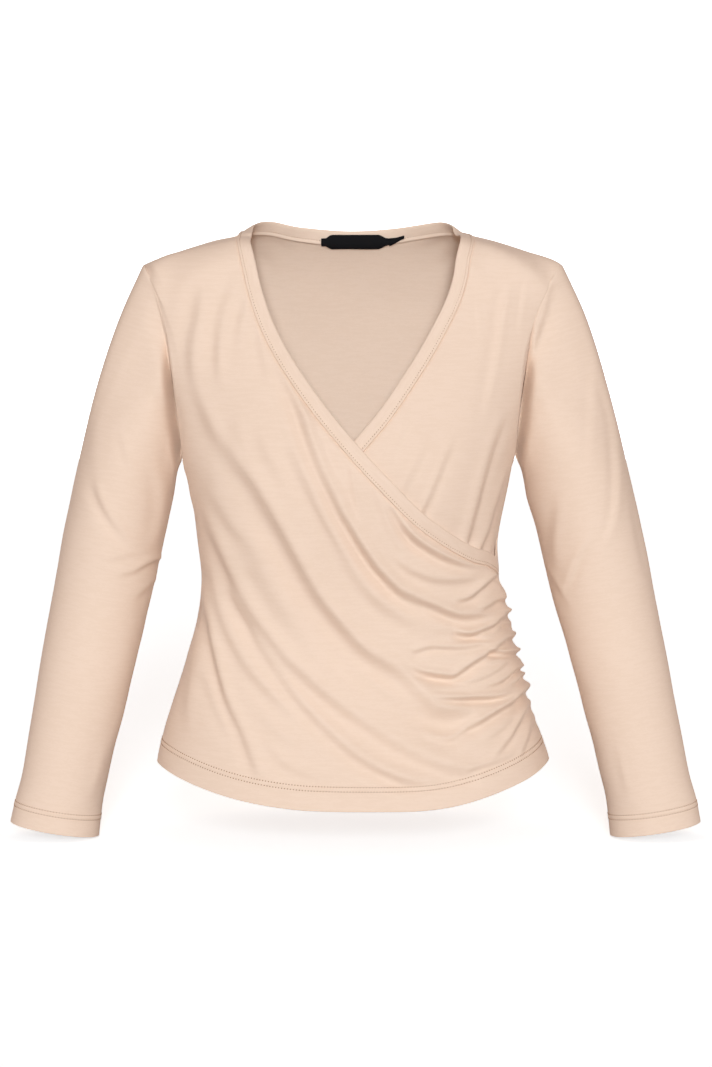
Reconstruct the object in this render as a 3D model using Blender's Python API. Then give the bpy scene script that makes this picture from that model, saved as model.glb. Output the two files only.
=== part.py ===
"""A long-sleeved wrap top in fine jersey, filled out as if worn, with nobody in it.

The wearer's right front wraps over the left one and is gathered into the left side
seam. One folded binding runs along both wrap edges and round the back neck.

Axes: +X is the wearer's left, -Y is the front, +Z is up. The origin lies midway
between the two neck points, where the wearer's shoulders hold the top up.

Tables and sizes are in millimetres, and MM turns them into metres for the meshes.
The lines on the front are laid out on an elevation: a grid of millimetres on the
plane through the neck points, seen by an eye 3 m away and 5 degrees up. A point there
is (across, down), and down is 0 at the neck points.
"""
import math
from collections import namedtuple

import bmesh
import bpy
import numpy as np

MM = 0.001

# Driving dimensions.
WALL = 1.3               # jersey, thickened to a wall
SEAM_GAP = 0.36          # between two pieces that are sewn to each other
BAND_WIDTH = 14.0
BAND_OUT = 0.7           # how far the folded binding stands over the cloth beside it
BAND_IN = 1.5            # and how far it reaches behind that cloth's outer face
OVERLAP_LIFT = 1.2       # the overlap rides over the underlap
EYE_DISTANCE = 3000.0
EYE_ELEVATION = math.radians(5.0)
EYE_ACROSS = 3.0
EYE_TARGET_DOWN = 310.5  # where the eye's level line meets the elevation
EYE_TARGET_HEIGHT = -308.9
SIDE_HEM_HEIGHT = -535.0
HEM_DROP = 36.0          # the hem is this much lower at the middle than at the sides
HEM_DEPTH = 118.0
UNDERARM = -236.0
ARMHOLE_CENTRE = -140.0
ARMHOLE_REACH = 160.0    # further from its centre than any part of the armhole
OVERLAP_END = -347.0     # height where the wrap edge meets the left side seam
UNDERLAP_BOUND = -348.0  # height where the underlap's bound edge meets the right side
UNDERLAP_EDGE = -392.0   # the hidden lower edge of the underlap
UNDERLAP_SHORT = 4.0     # it ends this far in front of the right side seam
ROUNDING = 18.0          # how softly the shoulder rolls over into the front and back
ROOF_BEND = 0.0046       # fall of the shoulder in front of and behind its ridge, 1/mm

# Under the overlap the underlap sinks into the form in steps. Each reaches its depth
# between two distances in from the overlap's free edge.
Sink = namedtuple("Sink", "depth start end")
UNDER_BINDING = Sink(2.1, -22, -2)
BEHIND_BINDING = Sink(1.2, 0, 14)
BEHIND_FOLDS = Sink(8.5, 8, 60)
UNDERLAP_SIDE_FADE = 16.0

# How far from its edges a panel's lift or folds reach their full height. A net runs from
# its first row to its last, and from its start column to its end.
Fade = namedtuple("Fade", "start end first")
LIFT_FADE = Fade(30, 14, 0)
OVERLAP_FADE = Fade(16, 5, 8)
UNDERLAP_FADE = Fade(8, 6, 0)
BACK_FADE = Fade(25, 12, 0)
UNDERLAP_FOLDS_END = (4.0, 40.0)     # its folds die out this far behind the overlap
SLEEVE_FOLDS_START = (250.0, 300.0)  # and a sleeve's start this far down

# How a panel's net of points is evened out between its seams.
RELAX_ROUNDS = 2
RELAX_SWEEPS = 5

# How finely curves and forms are worked out.
SPAN_STEPS = 16          # of a smooth line, between two of its points
COURSE_STEPS = 40        # of a fold's course
FOLD_REACH = 50.0        # beyond its course, where a fold no longer shows
SETTLE_ROUNDS = 14
SETTLE_STEP = 12.0
SIGHT_REACH = (-200.0, 160.0)
SIGHT_STEPS = 361
HALVINGS = 40
MIN_SLOPE = 0.05
GRADIENT_STEP = 0.05

# How many steps each run of a seam has.
SHOULDER_STEPS = 5
ARMHOLE_STEPS = 13
SIDE_STEPS = 32
OVERLAP_STEPS = 27
UNDERLAP_COLUMNS = 14
BACK_NECK_STEPS = 12

# The torso's level sections: half-widths to the wearer's right and left, depths to
# the front and back. Above the underarm they carry the armholes.
Section = namedtuple("Section", "height right left front back")
SECTIONS = [
    Section(60, 262, 262, 42, 56),
    Section(0, 256, 256, 46, 64),
    Section(-40, 242, 240, 58, 82),
    Section(-70, 229, 224, 67, 92),
    Section(-100, 215, 205, 77, 98),
    Section(-140, 202, 191, 92, 101),
    Section(-190, 182, 173, 109, 101),
    Section(-235, 170, 160.5, 120, 97),
    Section(-255, 164.5, 156.5, 121, 94),
    Section(-275, 161, 152, 120, 91),
    Section(-315, 156, 145, 114, 83),
    Section(-356, 152, 147.5, 107, 78),
    Section(-396, 157, 154, 102, 79),
    Section(-436, 168, 164.5, 102, 84),
    Section(-477, 181, 174, 106, 93),
    Section(-517, 192.5, 187, 112, 103),
    Section(-537, 196.5, 195, 115, 107),
    Section(-600, 206, 205, 122, 115),
]
SQUARENESS = 2.45        # exponent of the sections: 2 is an ellipse

# The line of the shoulders: the height of its ridge at each distance from the middle.
Ridge = namedtuple("Ridge", "across height")
RIDGE = [
    Ridge(0, 20), Ridge(50, 13), Ridge(90, 3), Ridge(101, -2.5), Ridge(114, -10),
    Ridge(139, -16.5), Ridge(172, -26.5), Ridge(206, -37.5), Ridge(240, -52),
]

# The armhole seams, as distances from the middle at each height.
Armhole = namedtuple("Armhole", "height right left")
ARMHOLE = [
    Armhole(-20, 216, 216), Armhole(-43, 206, 205), Armhole(-57, 198, 194),
    Armhole(-77, 191, 184), Armhole(-97, 186, 177.5), Armhole(-117, 183, 174),
    Armhole(-157, 178, 169), Armhole(-197, 173, 164), Armhole(-232, 170, 161),
    Armhole(-260, 169, 160),
]

# How far the left side seam is pulled to the front (+) or back (-) of the side.
SeamShift = namedtuple("SeamShift", "height forward")
LEFT_SEAM = [
    SeamShift(-200, 0), SeamShift(-236, 0), SeamShift(-290, 14), SeamShift(-330, 28),
    SeamShift(-350, 30), SeamShift(-372, 20), SeamShift(-400, 2), SeamShift(-430, -9),
    SeamShift(-470, -10), SeamShift(-505, -5), SeamShift(-536, 0), SeamShift(-560, 0),
]
# The left side seam is cut into runs, each with its own steps on the back and, between
# those, so many finer ones on the front that is sewn to it.
SeamRun = namedtuple("SeamRun", "top bottom back_steps finer")
LEFT_RUNS = [
    SeamRun(UNDERARM, OVERLAP_END, 8, 2), SeamRun(OVERLAP_END, -420, 6, 3),
    SeamRun(-420, -500, 4, 5), SeamRun(-500, SIDE_HEM_HEIGHT, 2, 6),
]
UNDERLAP_SIDE_STEPS = LEFT_RUNS[0].back_steps * LEFT_RUNS[0].finer
BACK_SIDE_STEPS = sum(run.back_steps for run in LEFT_RUNS)

# Courses on the elevation, as (across, down).
OVERLAP_SEAM = [
    (-114, 30), (-110, 49), (-105, 70), (-97, 95), (-85, 122), (-70, 148), (-53, 173),
    (-33, 200), (-1, 238), (27, 268), (60, 301), (87, 321), (107, 333), (122, 340),
    (134, 343),
]
OVERLAP_LEAD = (-100, 4)     # the edge's run beyond its two ends
OVERLAP_TRAIL = (150, 352)
UNDERLAP_SEAM = [
    (117, 38), (114, 57), (107, 80), (94, 107), (73, 144), (38, 196), (10, 229),
    (-22, 268), (-62, 308), (-104, 338),
]
# The binding's seam round the back of the neck, as (across, back, height).
BACK_NECK_SEAM = [
    (-107, 21, -11), (-90, 44, -14), (-52, 65, -19), (0, 73, -21),
    (52, 65, -19), (92, 44, -14), (110, 21, -11),
]
NECK_RIGHT = (-114, -20, -12)     # where the shoulder seams meet the binding
NECK_LEFT = (117, 0, -12)

# A fold is one or more bells across a course. A bell's offset and widths are measured
# from the course, to the left or right of its direction of travel; its height is how far
# it stands out (+) or in (-). The course is (across, down, strength).
Bell = namedtuple("Bell", "offset height left right")
Fold = namedtuple("Fold", "name bells course")

OVERLAP_FOLDS = [
    Fold("from_band", [Bell(1, -6.5, 9, 4)],
         [(-69, 149, 0), (-53, 197, .5), (-40, 237, .55), (-23, 277, .75), (-3, 320, 1),
          (17, 346, 1), (47, 376, .85), (87, 392, .85), (107, 395, .7), (136, 392, 0)]),
    Fold("upper_swag", [Bell(0, 4.5, 7, 12)],
         [(-52, 215, 0), (-32, 277, .5), (-13, 310, .8), (7, 340, 1), (27, 362, 1),
          (47, 382, 1), (67, 396, 1), (87, 407, 1), (127, 417, 1), (157, 407, .6)]),
    Fold("under_upper_swag", [Bell(0, -3.5, 8, 11)],
         [(-65, 220, 0), (-43, 277, .7), (-25, 312, .7), (-5, 342, .8), (15, 367, .9),
          (37, 388, 1), (60, 403, .9), (95, 418, 0)]),
    Fold("main_swag", [Bell(5, 4.0, 18, 5), Bell(-6, -5.5, 5, 15)],
         [(-131, 182, 0), (-110, 227, .6), (-88, 277, .9), (-52, 340, .9), (-13, 398, 1),
          (27, 441, 1), (67, 472, .8), (107, 488, .6), (125, 485, 0)]),
    Fold("under_main_swag", [Bell(0, -2.6, 8, 10)],
         [(-53, 377, 0), (-28, 422, .7), (12, 460, .8), (52, 487, .6), (92, 497, 0)]),
    Fold("low_swag", [Bell(5, 3.4, 14, 5), Bell(-5, -4.6, 5, 10)],
         [(-148, 287, 0), (-131, 332, .6), (-112, 377, .9), (-73, 427, 1), (-33, 472, 1),
          (7, 503, 1), (47, 527, .8), (87, 541, .6), (127, 547, 0)]),
    Fold("lowest_swag", [Bell(-1, -3.6, 4.5, 8), Bell(8, 1.8, 6, 6)],
         [(-131, 367, 0), (-110, 399, .8), (-83, 452, .9), (-48, 494, .9), (-13, 524, .9),
          (22, 548, .8), (62, 562, .4), (87, 564, 0)]),
    Fold("side_swag", [Bell(5, 3.2, 12, 4.5), Bell(-5, -5.5, 4.5, 10)],
         [(-152, 362, 0), (-149, 382, .9), (-138, 440, 1), (-123, 487, .9),
          (-103, 532, .6), (-91, 556, .2)]),
    Fold("side_soft", [Bell(0, -2.2, 5, 7)],
         [(-153, 322, .3), (-140, 372, .7), (-106, 445, .5), (-73, 483, .5), (-43, 505, 0)]),
    Fold("underarm_soft", [Bell(0, -2.2, 7, 9)],
         [(-150, 242, 0), (-131, 294, .7), (-106, 332, .5), (-91, 349, 0)]),
    Fold("shoulder_soft", [Bell(0, -2.6, 5, 8)],
         [(-153, 67, 0), (-159, 107, .9), (-160, 150, 1), (-151, 192, .7), (-139, 232, 0)]),
    Fold("chest_soft", [Bell(0, -1.6, 5, 7)],
         [(-121, 57, 0), (-132, 92, .7), (-137, 130, .8), (-134, 165, 0)]),
    Fold("below_band", [Bell(0, -3.2, 4, 7)],
         [(30, 275, 0), (51, 307, 1), (75, 325, .9), (102, 339, .8), (130, 344, 0)]),
    Fold("below_band_soft", [Bell(0, -2.6, 4.5, 6)],
         [(42, 337, 0), (72, 353, .8), (105, 358, .8), (132, 352, 0)]),
]
# The gathers at the left side seam, from the top down. Each runs into the seam.
GATHERS = [
    Fold("gather_1", [Bell(0, -3.2, 3.5, 6)],
         [(102, 380, 0), (127, 368, .8), (145, 353, 1)]),
    Fold("gather_2", [Bell(0, -3.0, 3.5, 3.5)],
         [(127, 385, 0), (145, 379, 1), (153, 377, 1)]),
    Fold("gather_3", [Bell(0, -5.0, 3.5, 4)],
         [(99, 412, 0), (119, 411, 1), (139, 401, 1), (156, 392, .8)]),
    Fold("gather_4", [Bell(0, -4.6, 4, 4.5)],
         [(95, 458, 0), (115, 445, .9), (137, 429, 1), (162, 415, .8)]),
    Fold("gather_5", [Bell(0, -3.6, 3.5, 3.5)],
         [(132, 427, 0), (152, 430, 1), (165, 430, 1)]),
    Fold("gather_6", [Bell(0, -2.5, 4, 4)],
         [(59, 430, 0), (79, 424, .8), (109, 426, .7), (137, 421, 0)]),
    Fold("gather_7", [Bell(0, -2.8, 6, 4)],
         [(62, 443, 0), (87, 452, 1), (107, 455, 0)]),
    Fold("gather_8", [Bell(0, -2.8, 3.5, 3.5)],
         [(129, 463, 0), (152, 453, .8), (168, 442, 1)]),
    Fold("gather_9", [Bell(0, -2.2, 3.5, 3.5)],
         [(137, 464, 0), (161, 456, .8), (171, 450, 1)]),
    Fold("gather_10", [Bell(0, -3.6, 3.5, 4)],
         [(77, 476, 0), (107, 475, 1), (139, 473, .9), (164, 466, .3)]),
    Fold("gather_11", [Bell(0, -4.0, 4.5, 6)],
         [(67, 516, 0), (102, 516, .6), (132, 497, .8), (159, 479, 1), (175, 465, 1)]),
    Fold("gather_12", [Bell(0, -3.2, 3.5, 5)],
         [(125, 539, 0), (155, 514, .8), (171, 485, 1), (177, 472, 1)]),
    Fold("gather_13", [Bell(0, -2.4, 3.5, 4)],
         [(169, 534, 0), (175, 519, .6), (178, 485, .8)]),
]
UNDERLAP_FOLDS = [
    Fold("towards_band", [Bell(0, -2.2, 4.5, 6)],
         [(70, 290, 1), (85, 257, .6), (107, 197, 0)]),
    Fold("towards_seam", [Bell(0, -3.4, 6, 6)],
         [(118, 320, 1), (134, 255, .8), (148, 209, .6), (159, 167, 0)]),
    Fold("beside_seam", [Bell(0, -3.0, 4, 4.5)],
         [(131, 325, 1), (143, 289, .8), (158, 237, 0)]),
    Fold("shoulder_soft", [Bell(0, -1.8, 6, 7)],
         [(151, 62, 0), (146, 118, .8), (139, 157, .5), (129, 207, 0)]),
]
# The plain back: soft drags from the gathered seam, and hollows at the waist.
BACK_FOLDS = [
    Fold("drag_1", [Bell(0, -3.4, 7, 9)],
         [(166, 372, .6), (135, 362, 1), (85, 335, .7), (30, 300, 0)]),
    Fold("drag_2", [Bell(0, -3.4, 7, 9)],
         [(170, 400, .6), (128, 398, 1), (70, 382, .7), (5, 352, 0)]),
    Fold("drag_3", [Bell(0, -3.6, 8, 9)],
         [(174, 432, .6), (132, 440, 1), (78, 442, .8), (20, 424, 0)]),
    Fold("drag_4", [Bell(0, -3.0, 8, 9)],
         [(180, 462, .6), (142, 478, 1), (100, 492, .7), (58, 498, 0)]),
    Fold("waist_right", [Bell(0, -3.2, 8, 10)],
         [(-160, 352, .3), (-120, 358, .9), (-62, 372, .8), (-5, 396, 0)]),
    Fold("waist_right_low", [Bell(0, -2.8, 8, 10)],
         [(-166, 398, .3), (-128, 404, .9), (-76, 422, .7), (-30, 448, 0)]),
    Fold("blade_right", [Bell(0, -3.0, 9, 12)],
         [(-162, 118, 0), (-150, 176, .9), (-132, 232, .8), (-104, 290, 0)]),
    Fold("blade_left", [Bell(0, -3.0, 12, 9)],
         [(154, 118, 0), (142, 176, .9), (124, 232, .8), (98, 286, 0)]),
]

# The sleeves' rings from the upper arm to the cuff: the middle's height and distance
# from the torso's middle, half-width, half-depth, and how far the middle lies forward.
Ring = namedtuple("Ring", "height across half_width half_depth forward")
RIGHT_RINGS = [
    Ring(-262, 228.5, 50, 56, -2), Ring(-290, 234.5, 50, 55, -1),
    Ring(-318, 240.5, 50, 53, 1), Ring(-348, 246.5, 49.2, 50, 3),
    Ring(-380, 253.2, 48.2, 47, 6), Ring(-412, 260, 47.4, 45, 9),
    Ring(-446, 267, 46.4, 43, 12), Ring(-482, 274.2, 45, 40.5, 14),
    Ring(-518, 282, 43.3, 38, 16), Ring(-556, 289.5, 42.3, 35.5, 18),
    Ring(-582, 294.5, 42.8, 34, 19), Ring(-603, 297.3, 43.5, 33, 20),
]
LEFT_RINGS = [
    Ring(-262, 225, 52.5, 56, -2), Ring(-290, 232.5, 51.6, 55, -1),
    Ring(-318, 239, 51, 53, 1), Ring(-348, 245.5, 51, 50, 3),
    Ring(-380, 253.2, 49.5, 47, 6), Ring(-412, 261, 48, 45, 9),
    Ring(-446, 269.2, 46.6, 43, 12), Ring(-482, 277.2, 45.2, 40.5, 14),
    Ring(-518, 285.5, 44.2, 38, 16), Ring(-556, 293.8, 43.4, 35.5, 18),
    Ring(-582, 298.8, 44, 34, 19), Ring(-603, 301.3, 44, 33, 20),
]
CAP_STEPS = 4            # rings between the armhole and the upper arm
CAP_PULL = 0.9           # how strongly the cap leaves along the torso
CAP_FALL = 0.6           # and how strongly down the sleeve
CAP_FLATTEN = 0.85       # how little it turns in with the torso's roundness, below
CAP_FLAT_DOWN = (80.0, 150.0)    # the shoulder's own roundness, which it keeps
# Creases round the sleeves: (turn, along), where turn is in degrees from the outer side
# towards the front, and along is millimetres down from the neck points.
SLEEVE_FOLDS = [
    Fold("elbow_front", [Bell(0, -2.6, 6, 8)],
         [(172, 322, 0), (140, 332, .8), (100, 338, .9), (62, 330, 0)]),
    Fold("elbow_inner", [Bell(0, -2.4, 6, 8)],
         [(215, 352, 0), (180, 360, .9), (140, 362, .7), (108, 352, 0)]),
    Fold("upper_front", [Bell(0, -2.4, 9, 9)],
         [(150, 232, 0), (118, 262, .8), (92, 292, .6), (74, 322, 0)]),
    Fold("elbow_back", [Bell(0, -2.6, 7, 9)],
         [(330, 318, 0), (285, 334, .9), (240, 342, .8), (200, 336, 0)]),
    Fold("forearm_back", [Bell(0, -2.2, 7, 8)],
         [(310, 420, 0), (265, 436, .8), (215, 444, 0)]),
]

LABEL_WIDTH = 69.0
LABEL_HEIGHT = 13.0
LABEL_MITRE = 4.0
LABEL_MIDDLE = 2.0       # across
LABEL_TOP = -9.5         # height
SIZE_TAG_WIDTH = 15.0
SIZE_TAG_HEIGHT = 11.5
SIZE_TAG_GAP = 0.5
LABEL_THICK = 1.0
LABEL_GAP = 0.3
LABEL_COLUMNS = 13
LABEL_BACK = 75.0        # about how far back it lies

BAND_SHARES = (0.0, 0.5, 0.92)   # where the binding's faces have points, across it
BAND_CROWNS = (0.0, 0.25, 0.0)   # and how far its outer one is rounded out there
BAND_END_GAP = 0.54
NECK_MIDDLE = (0.0, 0.0, 60.0)   # a point that every free edge of the binding faces

SMOOTH_ANGLE = math.radians(50)
Cloth = namedtuple("Cloth", "name colour roughness")
JERSEY = Cloth("jersey", (0.83, 0.66, 0.53, 1.0), 0.9)
WOVEN_LABEL = Cloth("woven_label", (0.02, 0.02, 0.022, 1.0), 0.6)


# ---------------------------------------------------------------- curves and forms

def column(rows, key, value, at):
    """A smooth curve through two columns of a table, read at the places given."""
    keys = np.array([getattr(row, key) for row in rows], float)
    values = np.array([getattr(row, value) for row in rows], float)
    order = np.argsort(keys)
    keys, values = keys[order], values[order]
    slopes = np.gradient(values, keys)
    at = np.clip(at, keys[0], keys[-1])
    k = np.clip(np.searchsorted(keys, at) - 1, 0, len(keys) - 2)
    span = keys[k + 1] - keys[k]
    t = (at - keys[k]) / span
    rise = t * t * (3 - 2 * t)
    return (values[k] * (1 - rise) + values[k + 1] * rise
            + span * slopes[k] * t * (1 - t) ** 2 - span * slopes[k + 1] * t * t * (1 - t))


def smooth_line(points, count):
    """A Catmull-Rom curve through the points, read at even steps along its length."""
    points = np.array(points, float)
    padded = np.vstack([2 * points[0] - points[1], points, 2 * points[-1] - points[-2]])
    fine = []
    for k in range(len(points) - 1):
        a, b, c, d = padded[k:k + 4]
        t = np.linspace(0, 1, SPAN_STEPS, endpoint=k == len(points) - 2)[:, None]
        fine.append(0.5 * (2 * b + (c - a) * t + (2 * a - 5 * b + 4 * c - d) * t ** 2
                           + (3 * b - a - 3 * c + d) * t ** 3))
    return even_steps(np.vstack(fine), count)


def lengths(points):
    steps = np.linalg.norm(np.diff(points, axis=0), axis=1)
    return np.concatenate([[0.0], np.cumsum(steps)])


def even_steps(points, count, share=None):
    """The same line with count + 1 points, at even steps or at the shares given."""
    along = lengths(points)
    share = np.linspace(0, 1, count + 1) if share is None else share
    return np.column_stack([np.interp(share * along[-1], along, points[:, k])
                            for k in range(points.shape[1])])


def ramp(value, start, end):
    """0 before start, 1 after end, and smooth between them."""
    t = np.clip((value - start) / (end - start), 0, 1)
    return t * t * (3 - 2 * t)


def field(points):
    """Roughly the distance outside the torso's form, which is 0 on it."""
    x, y, z = points[..., 0], points[..., 1], points[..., 2]
    width = np.where(x < 0, column(SECTIONS, "height", "right", z),
                     column(SECTIONS, "height", "left", z))
    depth = np.where(y < 0, column(SECTIONS, "height", "front", z),
                     column(SECTIONS, "height", "back", z))
    norm = ((np.abs(x) / width) ** SQUARENESS
            + (np.abs(y) / depth) ** SQUARENESS) ** (1 / SQUARENESS)
    side = np.hypot(x, y) * (1 - 1 / np.maximum(norm, MIN_SLOPE))
    roof = z - column(RIDGE, "across", "height", np.abs(x)) + ROOF_BEND * y * y
    return 0.5 * (side + roof + np.sqrt((side - roof) ** 2 + ROUNDING ** 2))


def gradient(points):
    parts = []
    for axis in range(3):
        move = np.zeros(3)
        move[axis] = GRADIENT_STEP
        parts.append((field(points + move) - field(points - move)) / (2 * GRADIENT_STEP))
    return np.stack(parts, axis=-1)


def unit(vectors):
    return vectors / np.maximum(np.linalg.norm(vectors, axis=-1, keepdims=True), 1e-9)


def settle(points):
    """The points moved on to the torso's form."""
    points = np.array(points, float)
    for _ in range(SETTLE_ROUNDS):
        slope = gradient(points)
        pull = field(points) / np.maximum((slope ** 2).sum(-1), MIN_SLOPE)
        points = points - np.clip(pull, -SETTLE_STEP, SETTLE_STEP)[..., None] * slope
    return points


def outward(points):
    return unit(gradient(points))


def eye():
    return np.array([EYE_ACROSS, -EYE_DISTANCE * math.cos(EYE_ELEVATION),
                     EYE_TARGET_HEIGHT + EYE_DISTANCE * math.sin(EYE_ELEVATION)])


def elevation(points):
    """Where the eye sees each point on the elevation, as (across, down)."""
    cos, sin = math.cos(EYE_ELEVATION), math.sin(EYE_ELEVATION)
    x = points[..., 0] - EYE_ACROSS
    y = points[..., 1]
    z = points[..., 2] - EYE_TARGET_HEIGHT
    scale = EYE_DISTANCE / (EYE_DISTANCE + y * cos - z * sin)
    return np.stack([x * scale + EYE_ACROSS,
                     EYE_TARGET_DOWN - (y * sin + z * cos) * scale], axis=-1)


def sight(course):
    """The points of the form's front that the eye sees at (across, down)."""
    course = np.array(course, float)
    cos, sin = math.cos(EYE_ELEVATION), math.sin(EYE_ELEVATION)
    across = course[:, 0] - EYE_ACROSS
    up = EYE_TARGET_DOWN - course[:, 1]
    # The elevation stands square to the eye's line of sight, through its target.
    on_plane = np.stack([across + EYE_ACROSS, up * sin,
                         up * cos + EYE_TARGET_HEIGHT], axis=-1)
    ray = unit(on_plane - eye())
    found = []
    for start, way in zip(on_plane, ray):
        reach = np.linspace(*SIGHT_REACH, SIGHT_STEPS)
        values = field(start + reach[:, None] * way)
        inside = np.nonzero(values < 0)[0]
        first = inside[0] if len(inside) else int(np.argmin(values))
        low, high = reach[max(first - 1, 0)], reach[first]
        for _ in range(HALVINGS):
            middle = 0.5 * (low + high)
            if field((start + middle * way)[None])[0] > 0:
                low = middle
            else:
                high = middle
        found.append(start + high * way)
    return settle(np.array(found))


# ------------------------------------------------------------------------- folds

def beside(course, places):
    """Signed distance from a course (+ to the left of its travel) and strength there."""
    line = smooth_line(course, COURSE_STEPS)
    line_up = line[:, :2] * (1, -1)
    spots = places * (1, -1)
    start, step = line_up[:-1], np.diff(line_up, axis=0)
    span = (step ** 2).sum(1)
    offset = spots[:, None, :] - start[None]
    share = np.clip((offset * step).sum(-1) / span, 0, 1)
    gap = offset - share[..., None] * step
    near = np.argmin((gap ** 2).sum(-1), axis=1)
    pick = np.arange(len(spots))
    turn = step[near, 0] * gap[pick, near, 1] - step[near, 1] * gap[pick, near, 0]
    distance = np.linalg.norm(gap[pick, near], axis=1) * np.where(turn >= 0, 1, -1)
    t = share[pick, near]
    if line.shape[1] < 3:
        return distance, None
    return distance, line[near, 2] * (1 - t) + line[near + 1, 2] * t


def relief(folds, places):
    """How far the folds move the cloth out at each place, in millimetres."""
    shape = places.shape[:-1]
    places = places.reshape(-1, 2)
    total = np.zeros(len(places))
    for fold in folds:
        course = np.array(fold.course, float)
        low, high = course[:, :2].min(0) - FOLD_REACH, course[:, :2].max(0) + FOLD_REACH
        near = np.all((places > low) & (places < high), axis=1)
        if not near.any():
            continue
        distance, strength = beside(fold.course, places[near])
        for bell in fold.bells:
            s = distance - bell.offset
            width = np.where(s > 0, bell.left, bell.right)
            total[near] += strength * bell.height * np.exp(-(s / width) ** 2)
    return total.reshape(shape)


# ------------------------------------------------------------------------- seams

def side_point(height, forward, side):
    """A point on the torso's side, at a height and a distance forward of the middle."""
    name = "right" if side < 0 else "left"
    width = column(SECTIONS, "height", name, height)
    depth = np.where(forward > 0, column(SECTIONS, "height", "front", height),
                     column(SECTIONS, "height", "back", height))
    share = (1 - (np.abs(forward) / depth) ** SQUARENESS) ** (1 / SQUARENESS)
    return np.stack([side * width * share, -forward, height], axis=-1)


def side_seam(side, heights):
    forward = (column(LEFT_SEAM, "height", "forward", heights) if side > 0
               else np.zeros(len(heights)))
    return settle(side_point(heights, forward, side))


def left_seam(runs, finer):
    """The left side seam along some of its runs, with the finer steps if they are wanted."""
    line = []
    for run in runs:
        coarse = side_seam(1, np.linspace(run.top, run.bottom, run.back_steps + 1))
        steps = run.finer if finer else 1
        share = np.linspace(0, 1, steps, endpoint=False)[None, :, None]
        line.append((coarse[:-1, None] * (1 - share) + coarse[1:, None] * share)
                    .reshape(-1, 3))
    return np.vstack(line + [coarse[-1:]])


def armhole(side, turns):
    """Armhole points at turns in degrees: 90 is the shoulder, 180 front, 270 underarm."""
    name = "right" if side < 0 else "left"
    points = []
    for turn in turns:
        way = np.array([math.cos(math.radians(turn)), math.sin(math.radians(turn))])
        low, high = 0.0, ARMHOLE_REACH
        for _ in range(HALVINGS):
            middle = 0.5 * (low + high)
            y, z = middle * way[0], ARMHOLE_CENTRE + middle * way[1]
            x = side * column(ARMHOLE, "height", name, np.array(z))
            if field(np.array([[x, y, z]]))[0] < 0:
                low = middle
            else:
                high = middle
        points.append((float(x), y, z))
    return np.array(points)


def shoulder_seam(side):
    neck = NECK_RIGHT if side < 0 else NECK_LEFT
    tip = armhole(side, [90])[0]
    share = np.linspace(0, 1, SHOULDER_STEPS + 1)[:, None]
    return settle(np.array(neck) * (1 - share) + tip * share)


FRONT_TURNS = np.linspace(90, 270, ARMHOLE_STEPS + 1)
BACK_TURNS = np.linspace(90, -90, ARMHOLE_STEPS + 1)


def hem_line(side, count):
    """The hem from the right side to the left, round the front (-1) or the back (1)."""
    turns = np.linspace(math.pi, 0, count + 1)
    height = np.full(count + 1, SIDE_HEM_HEIGHT)
    for _ in range(6):
        power = 2 / SQUARENESS
        width = np.where(np.cos(turns) < 0, column(SECTIONS, "height", "right", height),
                         column(SECTIONS, "height", "left", height))
        depth = column(SECTIONS, "height", "front" if side < 0 else "back", height)
        x = np.sign(np.cos(turns)) * width * np.abs(np.cos(turns)) ** power
        y = side * depth * np.sin(turns).clip(0) ** power
        height = SIDE_HEM_HEIGHT - HEM_DROP * (y / HEM_DEPTH) ** 2
    line = np.stack([x, y, height], axis=-1)
    return even_steps(line, count)


def overlap_seam():
    """The overlap's edge, from the right shoulder down to the left side seam."""
    start = shoulder_seam(-1)[0]
    end = side_seam(1, np.array([OVERLAP_END]))[0]
    line = np.vstack([start, sight(OVERLAP_SEAM), end])
    return settle(smooth_line(line, OVERLAP_STEPS))


def underlap_side(heights):
    """Where the underlap ends, just in front of the right side seam."""
    heights = np.array(heights, float)
    return settle(side_point(heights, np.full(len(heights), UNDERLAP_SHORT), -1))


def underlap_seam(count):
    """The underlap's edge, from the left shoulder down to the right side seam."""
    start = shoulder_seam(1)[0]
    end = underlap_side([UNDERLAP_BOUND])[0]
    line = np.vstack([start, sight(UNDERLAP_SEAM), end])
    return settle(smooth_line(line, count))


def back_neck_seam():
    line = np.vstack([shoulder_seam(-1)[0], BACK_NECK_SEAM, shoulder_seam(1)[0]])
    return settle(smooth_line(line, BACK_NECK_STEPS))


# ------------------------------------------------------------------------ panels

def coons(first, last, start, end):
    """A net of points between four seams: first and last run from start to end."""
    def shares(a, b):
        return 0.5 * (lengths(a) / lengths(a)[-1] + lengths(b) / lengths(b)[-1])
    u = shares(first, last)[None, :, None]
    t = shares(start, end)[:, None, None]
    across = start[:, None] * (1 - u) + end[:, None] * u
    down = first[None] * (1 - t) + last[None] * t
    corners = ((first[0] * (1 - u) + first[-1] * u) * (1 - t)
               + (last[0] * (1 - u) + last[-1] * u) * t)
    return relax(across + down - corners)


def relax(net):
    """Even out a net inside its seams, keeping it on the torso's form."""
    inner = net[1:-1, 1:-1]
    rows, columns = np.indices(inner.shape[:2])
    for _ in range(RELAX_ROUNDS):
        for _ in range(RELAX_SWEEPS):
            for colour in (0, 1):
                mean = 0.25 * (net[:-2, 1:-1] + net[2:, 1:-1] + net[1:-1, :-2]
                               + net[1:-1, 2:])
                chosen = ((rows + columns) % 2 == colour)[..., None]
                inner[:] = np.where(chosen, mean, inner)
        inner[:] = settle(inner)
    return net


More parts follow.
